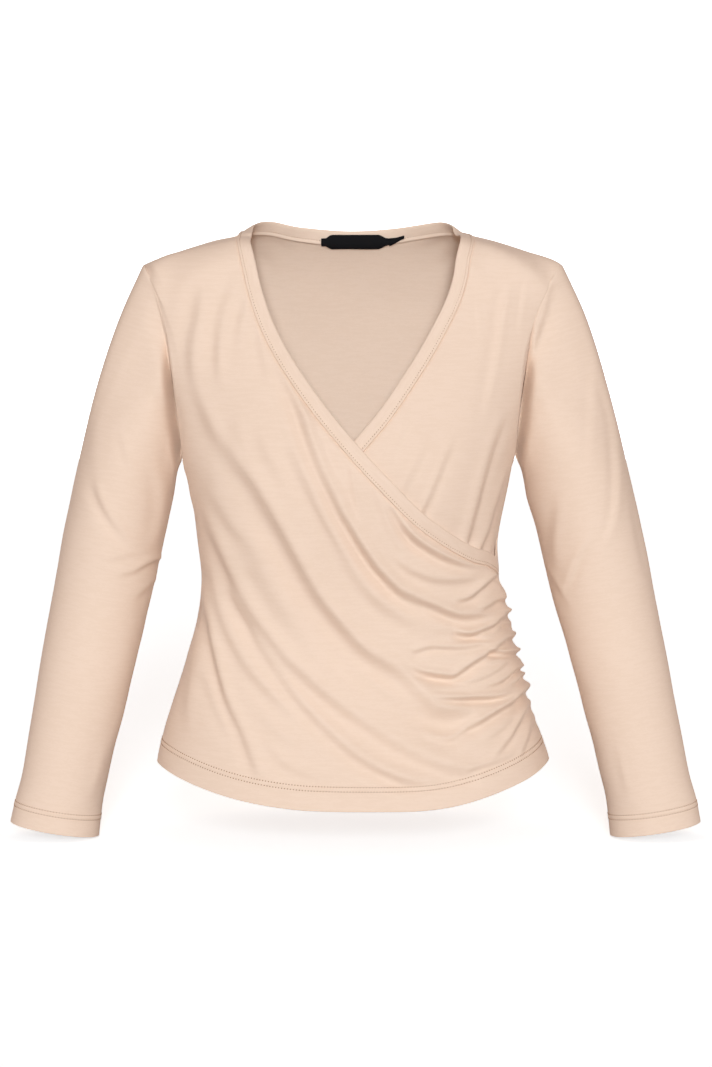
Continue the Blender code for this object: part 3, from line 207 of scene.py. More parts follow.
OVERLAP_FOLDS = table(
    Fold,
    ("main_swag", 0.52, 5.5, 9, [(-160, 160, 0), (-150, 188, .2), (-142, 205, .3), (-130, 222, .4),
        (-118, 240, .55), (-108, 252, .65), (-99, 264, .75), (-87, 284, .8), (-78, 300, .85),
        (-68, 318, .9), (-57, 338, 1), (-46, 358, 1), (-34, 378, 1.1), (-16, 400, 1.2), (1, 420, 1.15),
        (18, 435, 1), (34, 443, .9), (48, 453, .75), (58, 463, .75), (67, 474, .8), (75, 481, 1),
        (85, 486.5, 1.1), (96, 489, 1.1), (106, 489.5, .9), (114, 488, .5), (121, 485, 0)]),
    ("from_band", 0.68, 4.5, 4.5, [(-76, 140, 0), (-68, 158, .4), (-62, 171, .6), (-56, 184, .8),
        (-51, 198, .9), (-47, 211, .9), (-42, 225, .8), (-36, 242, .75), (-29, 257, .8),
        (-21, 273, .9), (-13, 290, 1), (-5, 303, 1.1), (4, 318, 1.2), (13, 332, 1.3), (22, 345, 1.3),
        (32, 356, 1.3), (42, 366, 1.2), (52, 375, .9), (62, 383, .5), (75, 391, .2), (85, 396, 0)]),
    ("above_from_band", 0.72, 3.6, 4, [(48, 365, 0), (57, 371, .6), (66, 377, .9), (76, 381.5, 1),
        (88, 387, 1.1), (98, 391.5, 1.15), (108, 394, 1), (120, 394, .7), (130, 393, .4), (139, 391, 0)]),
    ("under_from_band", 0.30, 5, 6, [(-68, 215, 0), (-60, 232, .6), (-52, 250, .9), (-45, 264, 1),
        (-38, 279, .9), (-30, 295, .8), (-22, 311, .8), (-12, 331, .7), (-2, 349, .7), (10, 365, .8),
        (24, 380, .9), (40, 391, .8), (56, 400, .6), (72, 409, 0)]),
    ("crest_line", 0.16, 2.2, 2.6, [(-50, 262, 0), (-38, 284, .6), (-29, 300, .8), (-18, 318, .7),
        (-8, 334, .4), (2, 348, 0)]),
    ("band_slant", 0.25, 2.8, 3.2, [(-42, 188, 0), (-34, 206, .6), (-27, 220, .8), (-20, 235, .8),
        (-13, 250, .6), (-6, 264, .3), (0, 276, 0)]),
    ("band_crease", 0.34, 2.4, 2.8, [(-6, 230, 0), (-4, 243, .7), (-2, 256, 1), (0, 268, 1),
        (2, 280, .8), (5, 292, .6), (9, 304, .2), (12, 312, 0)]),
    ("band_soft", 0.26, 3.5, 4, [(18, 262, 0), (24, 276, .5), (29, 290, .7), (34, 302, .9),
        (40, 314, .8), (48, 328, .5), (54, 338, 0)]),
    ("low_swag", 0.46, 5, 6.5, [(-156, 272, 0), (-150, 290, .5), (-143, 308, .7), (-136, 324, .9),
        (-129, 340, .9), (-121, 357, .9), (-113, 373, .9), (-105, 387, 1.05), (-97, 400, 1.15),
        (-88, 412, .95), (-78, 425, .85), (-66, 439, .85), (-52, 452, .9), (-38, 465, .9),
        (-22, 478, .9), (-8, 489, .9), (6, 499, .8), (22, 509, .8), (34, 518, .8), (48, 526, .8),
        (62, 533, .75), (76, 539.5, .75), (90, 544.5, .9), (104, 548, .9), (116, 549.3, .6),
        (126, 548, 0)]),
    ("lowest_swag", 0.48, 4.2, 4.4, [(-131, 362, 0), (-124, 372, .5), (-117, 385, .7), (-109, 399, .8),
        (-101, 413, .8), (-93, 426, .8), (-84, 439, .8), (-76, 450, .7), (-67, 463, .8),
        (-58, 475, .9), (-47, 487, .9), (-36, 499, .9), (-24, 511, .9), (-12, 522, .9), (0, 532, 1),
        (12, 540.5, 1), (24, 547, 1.1), (36, 552.5, 1.1), (48, 557, 1.1), (60, 560, .9), (74, 561, .6),
        (88, 560.5, .3), (100, 558, 0)]),
    ("side_swag", 0.60, 4, 4.5, [(-154, 356, 0), (-152, 370, .7), (-149, 386, 1), (-145, 402, 1.1),
        (-142, 418, 1.1), (-138, 435, 1.1), (-134, 452, 1.1), (-130, 468, 1.1), (-125, 482, .9),
        (-118, 497, .8), (-111, 512, .7), (-105, 528, .6), (-100, 542, .5), (-96, 552, .2),
        (-94, 560, 0)]),
    ("beside_side_swag", 0.26, 3.5, 4, [(-150, 450, 0), (-146, 461, .7), (-142, 474, .9),
        (-137, 487, .9), (-131, 500, .8), (-124, 513, .5), (-116, 526, 0)]),
    ("by_the_seam", 0.24, 4, 4, [(-158, 415, 0), (-163, 442, .6), (-166, 468, .8), (-167, 490, .6),
        (-165, 512, 0)]),
    ("side_soft", 0.34, 4, 5, [(-156, 316, .2), (-150, 335, .6), (-145, 350, .8), (-141, 365, .8),
        (-137, 380, .8), (-131, 400, .7), (-124, 416, .7), (-116, 431, .7), (-107, 445, .7),
        (-97, 458, .8), (-87, 468, .8), (-76, 479, .7), (-64, 489, .5), (-50, 500, 0)]),
    ("underarm_soft", 0.24, 5, 6, [(-150, 262, 0), (-142, 275, .6), (-134, 288, .8), (-127, 299, .8),
        (-119, 309, .8), (-110, 318, .6), (-100, 330, .3), (-92, 345, 0)]),
    ("between_swags", 0.14, 9, 9, [(-110, 328, 0), (-98, 348, .6), (-86, 368, .8), (-72, 388, .8),
        (-58, 405, .6), (-44, 422, .3), (-30, 436, 0)]),
    ("under_main_swag", 0.27, 5.5, 6, [(-58, 378, 0), (-44, 397, .4), (-30, 414, .6), (-14, 433, .8),
        (2, 449, .9), (18, 461, .9), (34, 474, .9), (48, 483, .9), (62, 491, .8), (76, 496.5, .7),
        (90, 500, .5), (103, 500, 0)]),
    ("hem_soft", 0.22, 4, 4, [(-92, 515, 0), (-84, 526, .5), (-75, 537, .8), (-64, 546, .9),
        (-50, 552, .9), (-35, 556, .7), (-15, 559, .4), (5, 560, 0)]),
    ("above_hem_soft", 0.16, 5, 5, [(-98, 488, 0), (-88, 501, .6), (-76, 513, .7), (-62, 522, .6),
        (-45, 530, 0)]),
    ("shoulder_soft", 0.30, 4.5, 6, [(-153, 62, 0), (-154, 70, .6), (-156, 82, .9), (-158, 96, 1),
        (-161, 110, .9), (-163, 124, .9), (-163.5, 138, .9), (-162, 152, .6), (-159, 166, .4),
        (-153, 181, .4), (-147, 197, .4), (-140, 213, .3), (-132, 230, 0)]),
    ("chest_soft", 0.33, 4, 4, [(-119, 50, 0), (-124, 65, .5), (-129, 79, .7), (-133, 93, .7),
        (-135.5, 108, .8), (-136.5, 123, 1), (-137, 138, .9), (-136, 152, .4), (-134, 166, 0)]),
    ("neck_soft", 0.30, 3, 3.5, [(-107, 74, 0), (-110, 84, .8), (-113, 96, 1), (-115, 108, .8),
        (-116.5, 122, .4), (-117, 138, 0)]),
    ("neck_fine", 0.22, 2.6, 3, [(-95, 98, 0), (-94.5, 112, .7), (-93, 126, 1), (-90.5, 140, 1),
        (-88, 153, .6), (-85, 168, 0)]),
    ("chest_slant", 0.15, 5, 5, [(-102, 198, 0), (-96, 214, .8), (-89, 230, .9), (-80, 246, .6),
        (-68, 266, 0)]),
    ("chest_low", 0.13, 7, 7, [(-126, 192, 0), (-121, 206, .8), (-114, 220, .8), (-104, 236, .4),
        (-96, 250, 0)]),
    ("below_band", 0.66, 3.4, 3.8, [(40, 279, 0), (44, 290, .8), (49, 301, 1.1), (56, 311, 1.3),
        (64, 319, 1.3), (73, 325, 1.3), (83, 331, 1.2), (93, 336, 1.1), (104, 340, .9), (115, 343, .6),
        (128, 343, .2), (136, 342, 0)]),
    ("below_band_soft", 0.36, 3.6, 4, [(38, 330, 0), (46, 340, .6), (56, 348, .8), (67, 353, 1),
        (78, 356.5, 1), (90, 358.5, 1), (103, 358.5, 1), (116, 356.5, .7), (128, 352, 0)]))
# The gathers at the left side seam, from the top down. Each runs into the seam.
GATHERS = table(
    Fold,
    ("gather_1", 0.70, 2.6, 3.2, [(99, 379.5, 0), (108, 377.5, .6), (116, 375, .9), (124, 369, 1),
        (131, 363, 1), (138, 356.5, 1), (145, 350.5, 1)]),
    ("gather_2", 0.75, 2.0, 2.4, [(125, 387, 0), (133, 384, .8), (140, 380.5, 1), (146, 377, 1),
        (153, 377, 1)]),
    ("gather_3", 0.5, 1.6, 1.8, [(144, 391, 0), (150, 389, 1), (156, 388, 1)]),
    ("gather_4", 0.85, 2.8, 3.2, [(99, 408, 0), (106, 410.5, .8), (114, 411.8, 1.1), (122, 410.8, 1.1),
        (130, 407.3, 1), (138, 404, 1), (146, 398, 1), (154, 391, 1)]),
    ("gather_5", 0.55, 1.8, 2.0, [(120, 415.5, 0), (128, 415, .7), (136, 413.5, .9), (143, 410, 1),
        (148, 405.5, 1.1), (152, 401.5, 1.1), (157, 402.5, 1)]),
    ("gather_6", 0.68, 3.0, 3.6, [(54, 441, 0), (62, 446, .5), (70, 449.5, .8), (80, 452, 1),
        (90, 453.6, 1.1), (98, 454.5, 1.2), (104, 452.5, 1.1), (112, 446.5, 1), (120, 440.5, 1),
        (128, 435.3, 1), (136, 430, 1), (145, 423, 1), (152, 418, 1), (160, 413.5, .9)]),
    ("gather_7", 0.85, 2.0, 2.4, [(134, 427.5, 0), (140, 429.3, 1), (147, 430, 1.1), (155, 430.2, 1.1),
        (165, 430, 1)]),
    ("gather_8", 0.48, 2.2, 2.6, [(57, 430, 0), (64, 428.5, 1), (72, 425.5, 1), (82, 424.3, .9),
        (94, 425, 1), (106, 425, .8), (118, 424, .6), (130, 422, .4), (140, 420, 0)]),
    ("gather_arc", 0.42, 1.5, 1.6, [(96, 461, 0), (106, 460.8, .7), (116, 459.4, .9), (126, 456.6, 1),
        (136, 452.5, 1), (145, 447, .9), (151, 441.8, .7), (156, 435.5, 0)]),
    ("gather_inner", 0.26, 1.8, 2.0, [(129, 445, 0), (136, 441.5, .8), (143, 438.7, 1), (149, 437, .5),
        (153, 436, 0)]),
    ("gather_10", 0.74, 2.4, 2.8, [(76, 474, 0), (87, 475, .5), (98, 475.6, .9), (110, 475.8, 1.1),
        (124, 475.3, 1.1), (136, 475, 1), (145, 474, .8), (153, 472.3, .5), (160, 469, 0)]),
    ("gather_11", 0.62, 1.8, 2.0, [(131, 464.5, 0), (139, 462.3, .7), (146, 459.5, 1), (152, 456, 1.1),
        (157, 452, 1.1), (162, 447.5, 1.2), (169, 443.3, 1.2)]),
    ("gather_12", 0.7, 1.7, 1.9, [(156, 462, 0), (162, 459.5, .8), (165, 456.3, 1.1), (167, 453, 1.1),
        (171, 450, 1)]),
    ("gather_13", 0.62, 3.0, 3.8, [(66, 508, 0), (76, 513, .3), (86, 517, .5), (96, 517.5, .6),
        (105, 513, .6), (114, 506.5, .8), (124, 501, 1), (134, 495, 1.1), (144, 488.7, 1.2),
        (153, 483.3, 1.2), (161, 478, 1.3), (168, 470.5, 1.4), (175, 462, 1.3)]),
    ("gather_14", 0.50, 2.4, 2.8, [(138, 538, 0), (145, 531, .6), (152, 522.5, .8), (158, 514, .9),
        (163, 505, 1), (168, 496, 1.1), (172, 488, 1.4), (174.5, 479, 1.3), (176, 470, 1)]),
    ("gather_slant", 0.24, 2.0, 2.2, [(130, 519, 0), (138, 514, .7), (146, 508.5, .9),
        (153, 502.5, .9), (159, 495.5, .8), (164, 488, 0)]),
    ("gather_15", 0.38, 2.0, 2.2, [(166, 538, 0), (170, 527, .7), (173.5, 518, .8), (176, 508, .9),
        (177.5, 498, .9), (178.3, 488, 1), (178.5, 476, .9)]),
    ("gather_16", 0.24, 2.0, 2.2, [(187, 521, 0), (185, 512, .7), (183, 503, .7), (181, 494, .3),
        (179, 486, 0)]),
    ("gather_hem", 0.40, 2.4, 2.8, [(112, 549.5, 0), (121, 546, .8), (131, 543, .9), (141, 540, .9),
        (150, 536.5, .8), (158, 532, .4), (165, 526, 0)]))
# Where the gathered cloth is pinched in between the gathers.
PINCHES = table(
    Groove,
    ("pinch_1", 1.5, 1.3, 1.3, [(134, 381, 0), (141, 379, .8), (147, 378.4, 1), (152, 380, .6)]),
    ("pinch_2", 1.4, 1.3, 1.3, [(138, 400, 0), (146, 396.5, .8), (151, 392.5, 1), (155, 388.5, .6)]),
    ("pinch_3", 1.5, 1.3, 1.3, [(144, 400, 0), (150, 403, .8), (155, 406.3, 1), (159, 409, .6)]),
    ("pinch_4", 1.5, 1.3, 1.3, [(148, 415, 0), (155, 417, 1), (161, 419, .7)]),
    ("pinch_5", 1.9, 1.5, 1.5, [(132, 428, 0), (140, 429, .8), (151, 430, 1), (161, 431, 1),
        (167, 432, .6)]),
    ("pinch_6", 1.2, 1.5, 1.5, [(138, 471, 0), (149, 463, .8), (159, 454, 1), (167, 446, .8)]),
    ("pinch_7", 1.2, 1.6, 1.6, [(150, 503, 0), (158, 494, .8), (166, 483, 1), (172, 472, .8)]),
    ("dip_1", 1.5, 4, 4, [(74, 417, 0), (87, 414, .8), (100, 411, 1), (112, 407, .6), (121, 403, 0)]),
    ("dip_2", 1.6, 4, 5, [(58, 458, 0), (74, 457, .8), (92, 455.5, 1), (110, 449, .8), (124, 442, .4),
        (134, 436, 0)]),
    ("dip_3", 1.3, 4, 5, [(84, 481, 0), (100, 481, .8), (118, 480, 1), (134, 478, .6), (146, 475, 0)]))
UNDERLAP_FOLDS = table(
    Fold,
    ("towards_band", 0.38, 3.5, 4, [(70, 291, 1.2), (75, 280, 1), (80, 268, .8), (85, 256, .7),
        (91, 241, .6), (97, 227, .4), (103, 213, 0)]),
    ("towards_band_soft", 0.22, 4, 4.5, [(49, 272, .9), (55, 259, .8), (62, 245, .6), (69, 231, .4),
        (77, 217, 0)]),
    ("towards_seam", 0.46, 5, 3.6, [(117, 318, 1.2), (119, 307, 1), (122, 294, 1), (126, 280, 1),
        (129, 266, .9), (133, 252, .8), (137, 238, .7), (142, 222, .6), (148, 206, .4), (155, 190, 0)]),
    ("beside_seam", 0.48, 3, 3.2, [(130, 327, 1.2), (134, 314, 1.1), (138, 302, 1), (142, 288, .9),
        (147, 272, .9), (151, 259, 1), (155, 248, .6), (159, 236, 0)]),
    ("at_band_end", 0.35, 2, 2, [(140, 333, 1), (142, 322, 1), (144, 311, .5), (146, 300, 0)]),
    ("shoulder_soft", 0.24, 4, 5, [(153, 58, 0), (152, 68, .7), (149, 82, 1), (147, 96, 1),
        (145, 112, .9), (142, 130, .8), (139, 147, .7), (136, 162, .6), (132, 180, .3), (127, 205, 0)]),
    ("sleeve_soft", 0.16, 3, 3, [(173, 52, 0), (170, 68, .8), (168, 84, .8), (166, 100, .5),
        (165, 116, 0)]),
    ("fine", 0.12, 2.5, 2.5, [(122, 75, 0), (123.5, 88, .8), (125, 102, .8), (126, 118, 0)]),
    ("neck_soft", 0.13, 3.5, 3.5, [(36, 240, 0), (42, 226, .8), (50, 210, .8), (58, 194, 0)]))
BACK_FOLDS = table(
    Fold,
    ("drag_1", 0.42, 6, 7, [(170, 366, .7), (138, 358, 1), (88, 334, .7), (30, 300, 0)]),
    ("drag_2", 0.40, 6, 7, [(172, 396, .7), (130, 396, 1), (70, 382, .7), (5, 352, 0)]),
    ("drag_3", 0.44, 6, 7, [(176, 430, .7), (134, 439, 1), (78, 442, .8), (20, 424, 0)]),
    ("drag_4", 0.36, 6, 7, [(182, 462, .7), (144, 478, 1), (100, 492, .7), (58, 498, 0)]),
    ("drag_fine_1", 0.30, 3, 3.5, [(168, 382, 1), (142, 380, .8), (108, 366, .5), (80, 352, 0)]),
    ("drag_fine_2", 0.30, 3, 3.5, [(174, 414, 1), (146, 418, .8), (112, 414, .5), (84, 404, 0)]),
    ("drag_fine_3", 0.30, 3, 3.5, [(180, 446, 1), (154, 456, .8), (122, 466, .5), (96, 466, 0)]),
    ("waist_right", 0.34, 7, 8, [(-164, 350, .4), (-120, 358, .9), (-62, 372, .8), (-5, 396, 0)]),
    ("waist_right_low", 0.30, 7, 8, [(-170, 396, .4), (-128, 404, .9), (-76, 422, .7), (-30, 448, 0)]),
    ("blade_right", 0.26, 8, 10, [(-162, 118, 0), (-150, 176, .9), (-132, 232, .8), (-104, 290, 0)]),
    ("blade_left", 0.26, 10, 8, [(98, 286, 0), (124, 232, .8), (142, 176, .9), (154, 118, 0)]),
    ("middle_soft", 0.14, 10, 10, [(-28, 330, 0), (-4, 352, .8), (26, 366, .6), (58, 372, 0)]))
# Creases on the fronts of the sleeves, as the eye sees them.
RIGHT_SLEEVE_FOLDS = table(
    Fold,
    ("elbow_slant", 0.36, 4, 5, [(-260, 255, 0), (-257, 268, .8), (-252, 281, 1), (-246, 292, 1),
        (-239, 302, .9), (-230, 312, .6), (-218, 322, 0)]),
    ("elbow_line", 0.26, 2.5, 3, [(-252, 338, 0), (-242, 336.5, .7), (-230, 334, .8), (-217, 331, .3),
        (-210, 328, 0)]),
    ("elbow_crease", 0.5, 3, 3.5, [(-238, 354, 0), (-228, 352, .5), (-218, 349, .7), (-210, 344, .9),
        (-202, 340, 1.3), (-194, 337, 1.2)]),
    ("elbow_under", 0.34, 3, 4, [(-222, 378, 0), (-213, 372, .7), (-206, 366, .9), (-199, 359, 1)]),
    ("upper_soft", 0.16, 3.5, 4, [(-236, 205, 0), (-231, 222, .8), (-226, 240, .8), (-219, 258, 0)]),
    ("inner_soft", 0.22, 5, 6, [(-206, 230, 0), (-196, 262, .7), (-194, 286, .9), (-198, 306, .7),
        (-206, 324, 0)]),
    ("long_soft", 0.10, 6, 6, [(-258, 180, 0), (-262, 205, .8), (-263, 235, .8), (-258, 262, 0)]),
    ("cuff_soft", 0.12, 4, 4, [(-252, 520, 0), (-256, 540, .8), (-262, 560, .8), (-270, 575, 0)]))
LEFT_SLEEVE_FOLDS = table(
    Fold,
    ("outer_line", 0.26, 4, 4, [(248, 160, 0), (256, 185, .6), (260, 210, .8), (262, 235, 1),
        (262.5, 260, .9), (261, 285, .9), (257, 303, .7), (250, 318, .4), (240, 334, 0)]),
    ("elbow_slant", 0.30, 3.5, 4, [(213, 366, .4), (218, 352, .9), (224, 338, 1), (232, 325, .7),
        (242, 312, 0)]),
    ("upper_soft", 0.12, 4, 5, [(236, 120, 0), (238, 150, .8), (237.5, 190, .8), (235, 228, .8),
        (230, 262, 0)]),
    ("inner_soft", 0.22, 5, 6, [(206, 272, 0), (202, 290, .8), (199, 312, .9), (199, 334, .7),
        (204, 356, 0)]),
    ("edge_line", 0.26, 3, 3, [(279, 270, 0), (284, 292, .8), (289, 318, 1), (294, 342, .6),
        (298, 362, 0)]),
    ("elbow_inner", 0.30, 3, 4, [(196, 350, .8), (203, 362, .9), (210, 374, .6), (218, 388, 0)]),
    ("cuff_soft", 0.14, 3, 4, [(262, 520, 0), (266, 540, .8), (270, 558, .8), (274, 575, 0)]))
# Creases on the sleeves' backs: (turn, down), where turn is in degrees from the outer side
# towards the front.
SLEEVE_BACK_FOLDS = table(
    Fold,
    ("elbow_high", 0.34, 5, 6, [(232, 318, 0), (262, 326, .9), (292, 322, .8), (322, 308, 0)]),
    ("elbow_low", 0.36, 5, 6, [(214, 352, .6), (244, 358, .9), (280, 352, .8), (314, 338, 0)]),
    ("forearm", 0.24, 5, 6, [(216, 424, 0), (248, 432, .8), (292, 422, 0)]),
    ("upper", 0.22, 6, 7, [(232, 262, 0), (262, 276, .8), (304, 270, 0)]))
SLEEVE_FOLDS_START = (100.0, 160.0)
FACING_FADE = (-0.2, 0.25)   # the folds of a sleeve's front or back fade in over this, of the
                             # share by which its face is turned forwards or backwards

# A sleeve's rings: half its depth, how far forward it lies, and for each side of the garment
# how far across it lies and half its width.
Ring = namedtuple("Ring", "height depth forward right right_width left left_width")
RINGS = table(
    Ring,
    (-262, 56, -2, 228.5, 50, 225, 52.5),
    (-290, 55, -1, 234.5, 50, 232.5, 51.6),
    (-318, 53, 1, 240.5, 50, 239, 51),
    (-348, 50, 3, 246.5, 49.2, 245.5, 51),
    (-380, 47, 6, 253.2, 48.2, 253.2, 49.5),
    (-412, 45, 9, 260, 47.4, 261, 48),
    (-446, 43, 12, 267, 46.4, 269.2, 46.6),
    (-482, 40.5, 14, 274.2, 45, 277.2, 45.2),
    (-518, 38, 16, 282, 43.3, 285.5, 44.2),
    (-556, 35.5, 18, 289.5, 42.3, 293.8, 43.4),
    (-582, 34, 19, 295.2, 43.6, 299.7, 44.9),
    (-603, 33, 20, 298.7, 45, 303, 45.7))
CAP_STEPS = 4            # rings between the armhole and the upper arm
CAP_PULL = 0.41          # how strongly the cap leaves along the torso
CAP_FALL = 0.93          # and how strongly down the sleeve
CAP_FLATTEN = 0.85       # how little it turns in with the torso's roundness, below
CAP_FLAT_DOWN = (80.0, 150.0)
# The cloth falls back between body and sleeve, in front of the armpit, and a little behind it.
VALLEY_DEPTH = 25.0
BACK_VALLEY_DEPTH = 8.0
VALLEY_START = (95.0, 175.0)
VALLEY_END = (222.0, 240.0)
VALLEY_TURN = (-6.0, 14.0)   # how far in front it turns from the back's to the front's
BODY_VALLEY = 3.2        # how far from the seam the body and the sleeve fall away
SLEEVE_VALLEY = 10.0
CREASE_SEAM = 1.7        # how close to the armhole's seam its creases end

# Creases of the cloth beside the armholes: how deep, and how wide to either side.
RIGHT_ARMPIT = table(
    Groove,
    ("crease", 5.0, 2.6, 7, [(-203, 52, 0), (-199, 72, .3), (-195, 92, .6), (-190, 112, .9),
        (-186, 128, .8), (-183, 146, .3), (-181, 158, 0)]),
    ("fold", 3.0, 5, 5, [(-203, 172, 0), (-194, 178, .6), (-186, 190, 1), (-182, 205, .8),
        (-181, 225, .4), (-183, 245, 0)]))
LEFT_ARMPIT = table(
    Groove,
    ("crease", 5.0, 7, 2.6, [(204, 58, 0), (200, 75, .4), (197, 90, .6), (192, 105, .8),
        (187, 120, .9), (182, 137, .7), (176, 155, .2), (173, 164, 0)]),
    ("fold", 3.0, 5, 5, [(196, 166, 0), (187, 174, .6), (178, 187, 1), (173, 203, .8), (171, 225, .4),
        (173, 245, 0)]))

# Soft ups and downs of each piece's cloth: how high, how many waves, and their lengths.
Rough = namedtuple("Rough", "seed size waves shortest longest")
OVERLAP_ROUGH = Rough(11, 0.35, 16, 18, 60)
UNDERLAP_ROUGH = Rough(12, 0.3, 16, 18, 60)
BACK_ROUGH = Rough(13, 0.4, 16, 22, 80)
RIGHT_SLEEVE_ROUGH = Rough(21, 0.3, 14, 25, 70)
LEFT_SLEEVE_ROUGH = Rough(22, 0.3, 14, 25, 70)
SLEEVE_ROUGH_START = 20.0

# Seams, hems and sewing.
SEAM_DEPTH = 0.9
SEAM_WIDTH = 1.4
HEM_ROWS = (19.2, 23.6)  # the twin needle's rows, up from the hem's edge
CUFF_ROWS = (17.2, 21.8)
ROW_DEPTH = 0.12
ROW_WIDTH = 1.0
TUNNEL_HEIGHT = 0.45     # of the cloth pinched up between the two rows
TUNNEL_WIDTH = 1.6
HEM_EXTRA = 0.5          # the hem is turned up, so it is this much thicker
HEM_EXTRA_END = 1.5      # this far above the upper row, the wall is as thin as elsewhere
STITCH_PITCH = 2.9
STITCH_LENGTH = 1.05
STITCH_RADIUS = 0.62
STITCH_SIDES = 6
STITCH_REACH = 0.4       # its direction is read this far before and after its middle
STITCH_RINGS = np.array([(-0.5, 0.35), (-0.3, 0.9), (0.3, 0.9), (0.5, 0.35)])  # along, width
RIM_BULGE = 0.35         # how far the cloth's rims are rounded out
TURN_SPAN = 150.0        # the cloth's length round the torso, for a turn of 1 radian
TURN_DEPTH = 60.0        # added to the depth, as the torso is wider than it is deep

# The binding's section: distance across from its seam, and height over the cloth's face.
Profile = namedtuple("Profile", "across height")
BAND_PROFILE = table(
    Profile, (0.15, -0.6), (0.2, 0.3), (0.55, 0.95), (1.1, 1.2), (1.7, 0.95), (2.3, 0.55), (2.9, 0.42),
    (3.6, 0.58), (4.6, 0.8), (7.0, 0.95), (10.0, 0.95), (12.0, 0.85), (13.3, 0.5), (13.9, -0.05),
    (14.0, -0.5), (13.8, -1.0), (12.8, -1.4), (10.0, -1.6), (6.0, -1.6), (3.6, -1.5), (2.9, -1.4),
    (2.2, -1.6), (0.6, -2.4), (-0.9, -2.5), (-1.1, -2.25), (-0.9, -2.0), (0.1, -1.8))
BAND_STAND = (0.0, 50.0)  # how far down the fronts the binding turns from standing to lying
# Round the back neck it leans inwards, by degrees from upright, by how far to the side.
Lean = namedtuple("Lean", "side degrees")
BAND_LEANS = table(
    Lean, (0, 8), (40, 14), (54, 25), (70, 32), (85, 32), (93, 34), (101, 41), (107, 51), (111, 63),
    (113, 77), (115, 90))
BAND_FINER = 7
BAND_STITCH_ACROSS = 2.9     # how far from its seam it is sewn down
BAND_STITCH_RADIUS = 0.36
NECK_MIDDLE = (0.0, 0.0, 60.0)   # the binding lies on this side of its seam
UP = np.array([0.0, 0.0, 1.0])

LABEL_MIDDLE = 2.0
LABEL_TOP = -10.8
LABEL_REACH = 150.0      # how far back it is looked for
LABEL_OFF = 2.5          # from the cloth, and a little more at its lower edge
LABEL_OFF_LOW = 0.5
LABEL_WAVE = 0.15
LABEL_WAVE_LENGTH = 6.0
LABEL_THICK = 0.5
LABEL_LEAN = math.radians(9.0)
LABEL_ON_BAND = (-2, 2)  # it passes from the cloth to the binding over this height
LABEL_STEPS = (9, 60)    # down and across
# The label's outline: its upper and lower edge below LABEL_TOP at each distance across.
Outline = namedtuple("Outline", "across upper lower")
LABEL_OUTLINE = table(
    Outline, (-34.0, 3.6, 9.6), (-29.5, 3.4, 9.8), (-25.0, 0.4, 12.2), (-24.0, 0.0, 12.6),
    (24.0, 0.0, 12.6), (25.5, 0.4, 12.2), (31.0, 3.2, 9.4), (34.5, 3.6, 8.6))
TAG_OUTLINE = table(Outline, (35.0, 3.4, 9.6), (42.0, 2.8, 6.8), (45.5, 1.8, 5.0), (49.5, 0.8, 3.4))

# ---------------------------------------------------------------- curves and forms

def column(rows, name, at):
    """A smooth curve through a table's first column and a named one, read at some places."""
    keys = np.array([row[0] for row in rows], float)
    values = np.array([getattr(row, name) for row in rows], float)
    order = np.argsort(keys)
    keys, values = keys[order], values[order]
    slopes = np.gradient(values, keys)
    at = np.clip(at, keys[0], keys[-1])
    k = np.clip(np.searchsorted(keys, at) - 1, 0, len(keys) - 2)
    span = keys[k + 1] - keys[k]
    t = (at - keys[k]) / span
    rise = t * t * (3 - 2 * t)
    return (values[k] * (1 - rise) + values[k + 1] * rise
            + span * slopes[k] * t * (1 - t) ** 2 - span * slopes[k + 1] * t * t * (1 - t))


def torso(test, yes, no, height):
    """How far the torso reaches: one column of its table where the test is true, else another."""
    return np.where(test, column(SECTIONS, yes, height), column(SECTIONS, no, height))


def side_name(side):
    return "right" if side < 0 else "left"


def lengths(points):
    steps = np.linalg.norm(np.diff(points, axis=0), axis=1)
    return np.concatenate([[0.0], np.cumsum(steps)])


def even_steps(points, count):
    """The same line with count + 1 points at even steps."""
    along = lengths(points)
    share = np.linspace(0, 1, count + 1)
    return np.column_stack([np.interp(share * along[-1], along, values) for values in points.T])


def smooth_line(points, count):
    """A Catmull-Rom curve through the points, read at even steps along its length."""
    return even_steps(refine_rows(np.array(points, float), SPAN_STEPS), count)


def ramp(value, start, end):
    """0 before start, 1 after end, and smooth between them."""
    t = np.clip((value - start) / (end - start), 0, 1)
    return t * t * (3 - 2 * t)


def bell(distance, height, width):
    return height * np.exp(-(distance / width) ** 2)


def unit(vectors):
    return vectors / np.maximum(np.linalg.norm(vectors, axis=-1, keepdims=True), 1e-9)


def halve(low, high, test):
    """How far the test stays true on the way from low to high, found by halving."""
    for _ in range(HALVINGS):
        middle = 0.5 * (low + high)
        passed = test(middle)
        low, high = np.where(passed, middle, low), np.where(passed, high, middle)
    return low


def field(points):
    """Roughly the distance outside the torso's form, which is 0 on it."""
    x, y, z = points[..., 0], points[..., 1], points[..., 2]
    width, depth = torso(x < 0, "right", "left", z), torso(y < 0, "front", "back", z)
    norm = ((np.abs(x) / width) ** SQUARENESS
            + (np.abs(y) / depth) ** SQUARENESS) ** (1 / SQUARENESS)
    side = np.hypot(x, y) * (1 - 1 / np.maximum(norm, MIN_SLOPE))
    roof = z - column(RIDGE, "height", np.abs(x)) + ROOF_BEND * y * y
    return 0.5 * (side + roof + np.sqrt((side - roof) ** 2 + ROUNDING ** 2))


def gradient(points):
    moves = GRADIENT_STEP * np.eye(3)
    return np.stack([(field(points + move) - field(points - move)) / (2 * GRADIENT_STEP)
                     for move in moves], axis=-1)


def outward(points):
    return unit(gradient(points))


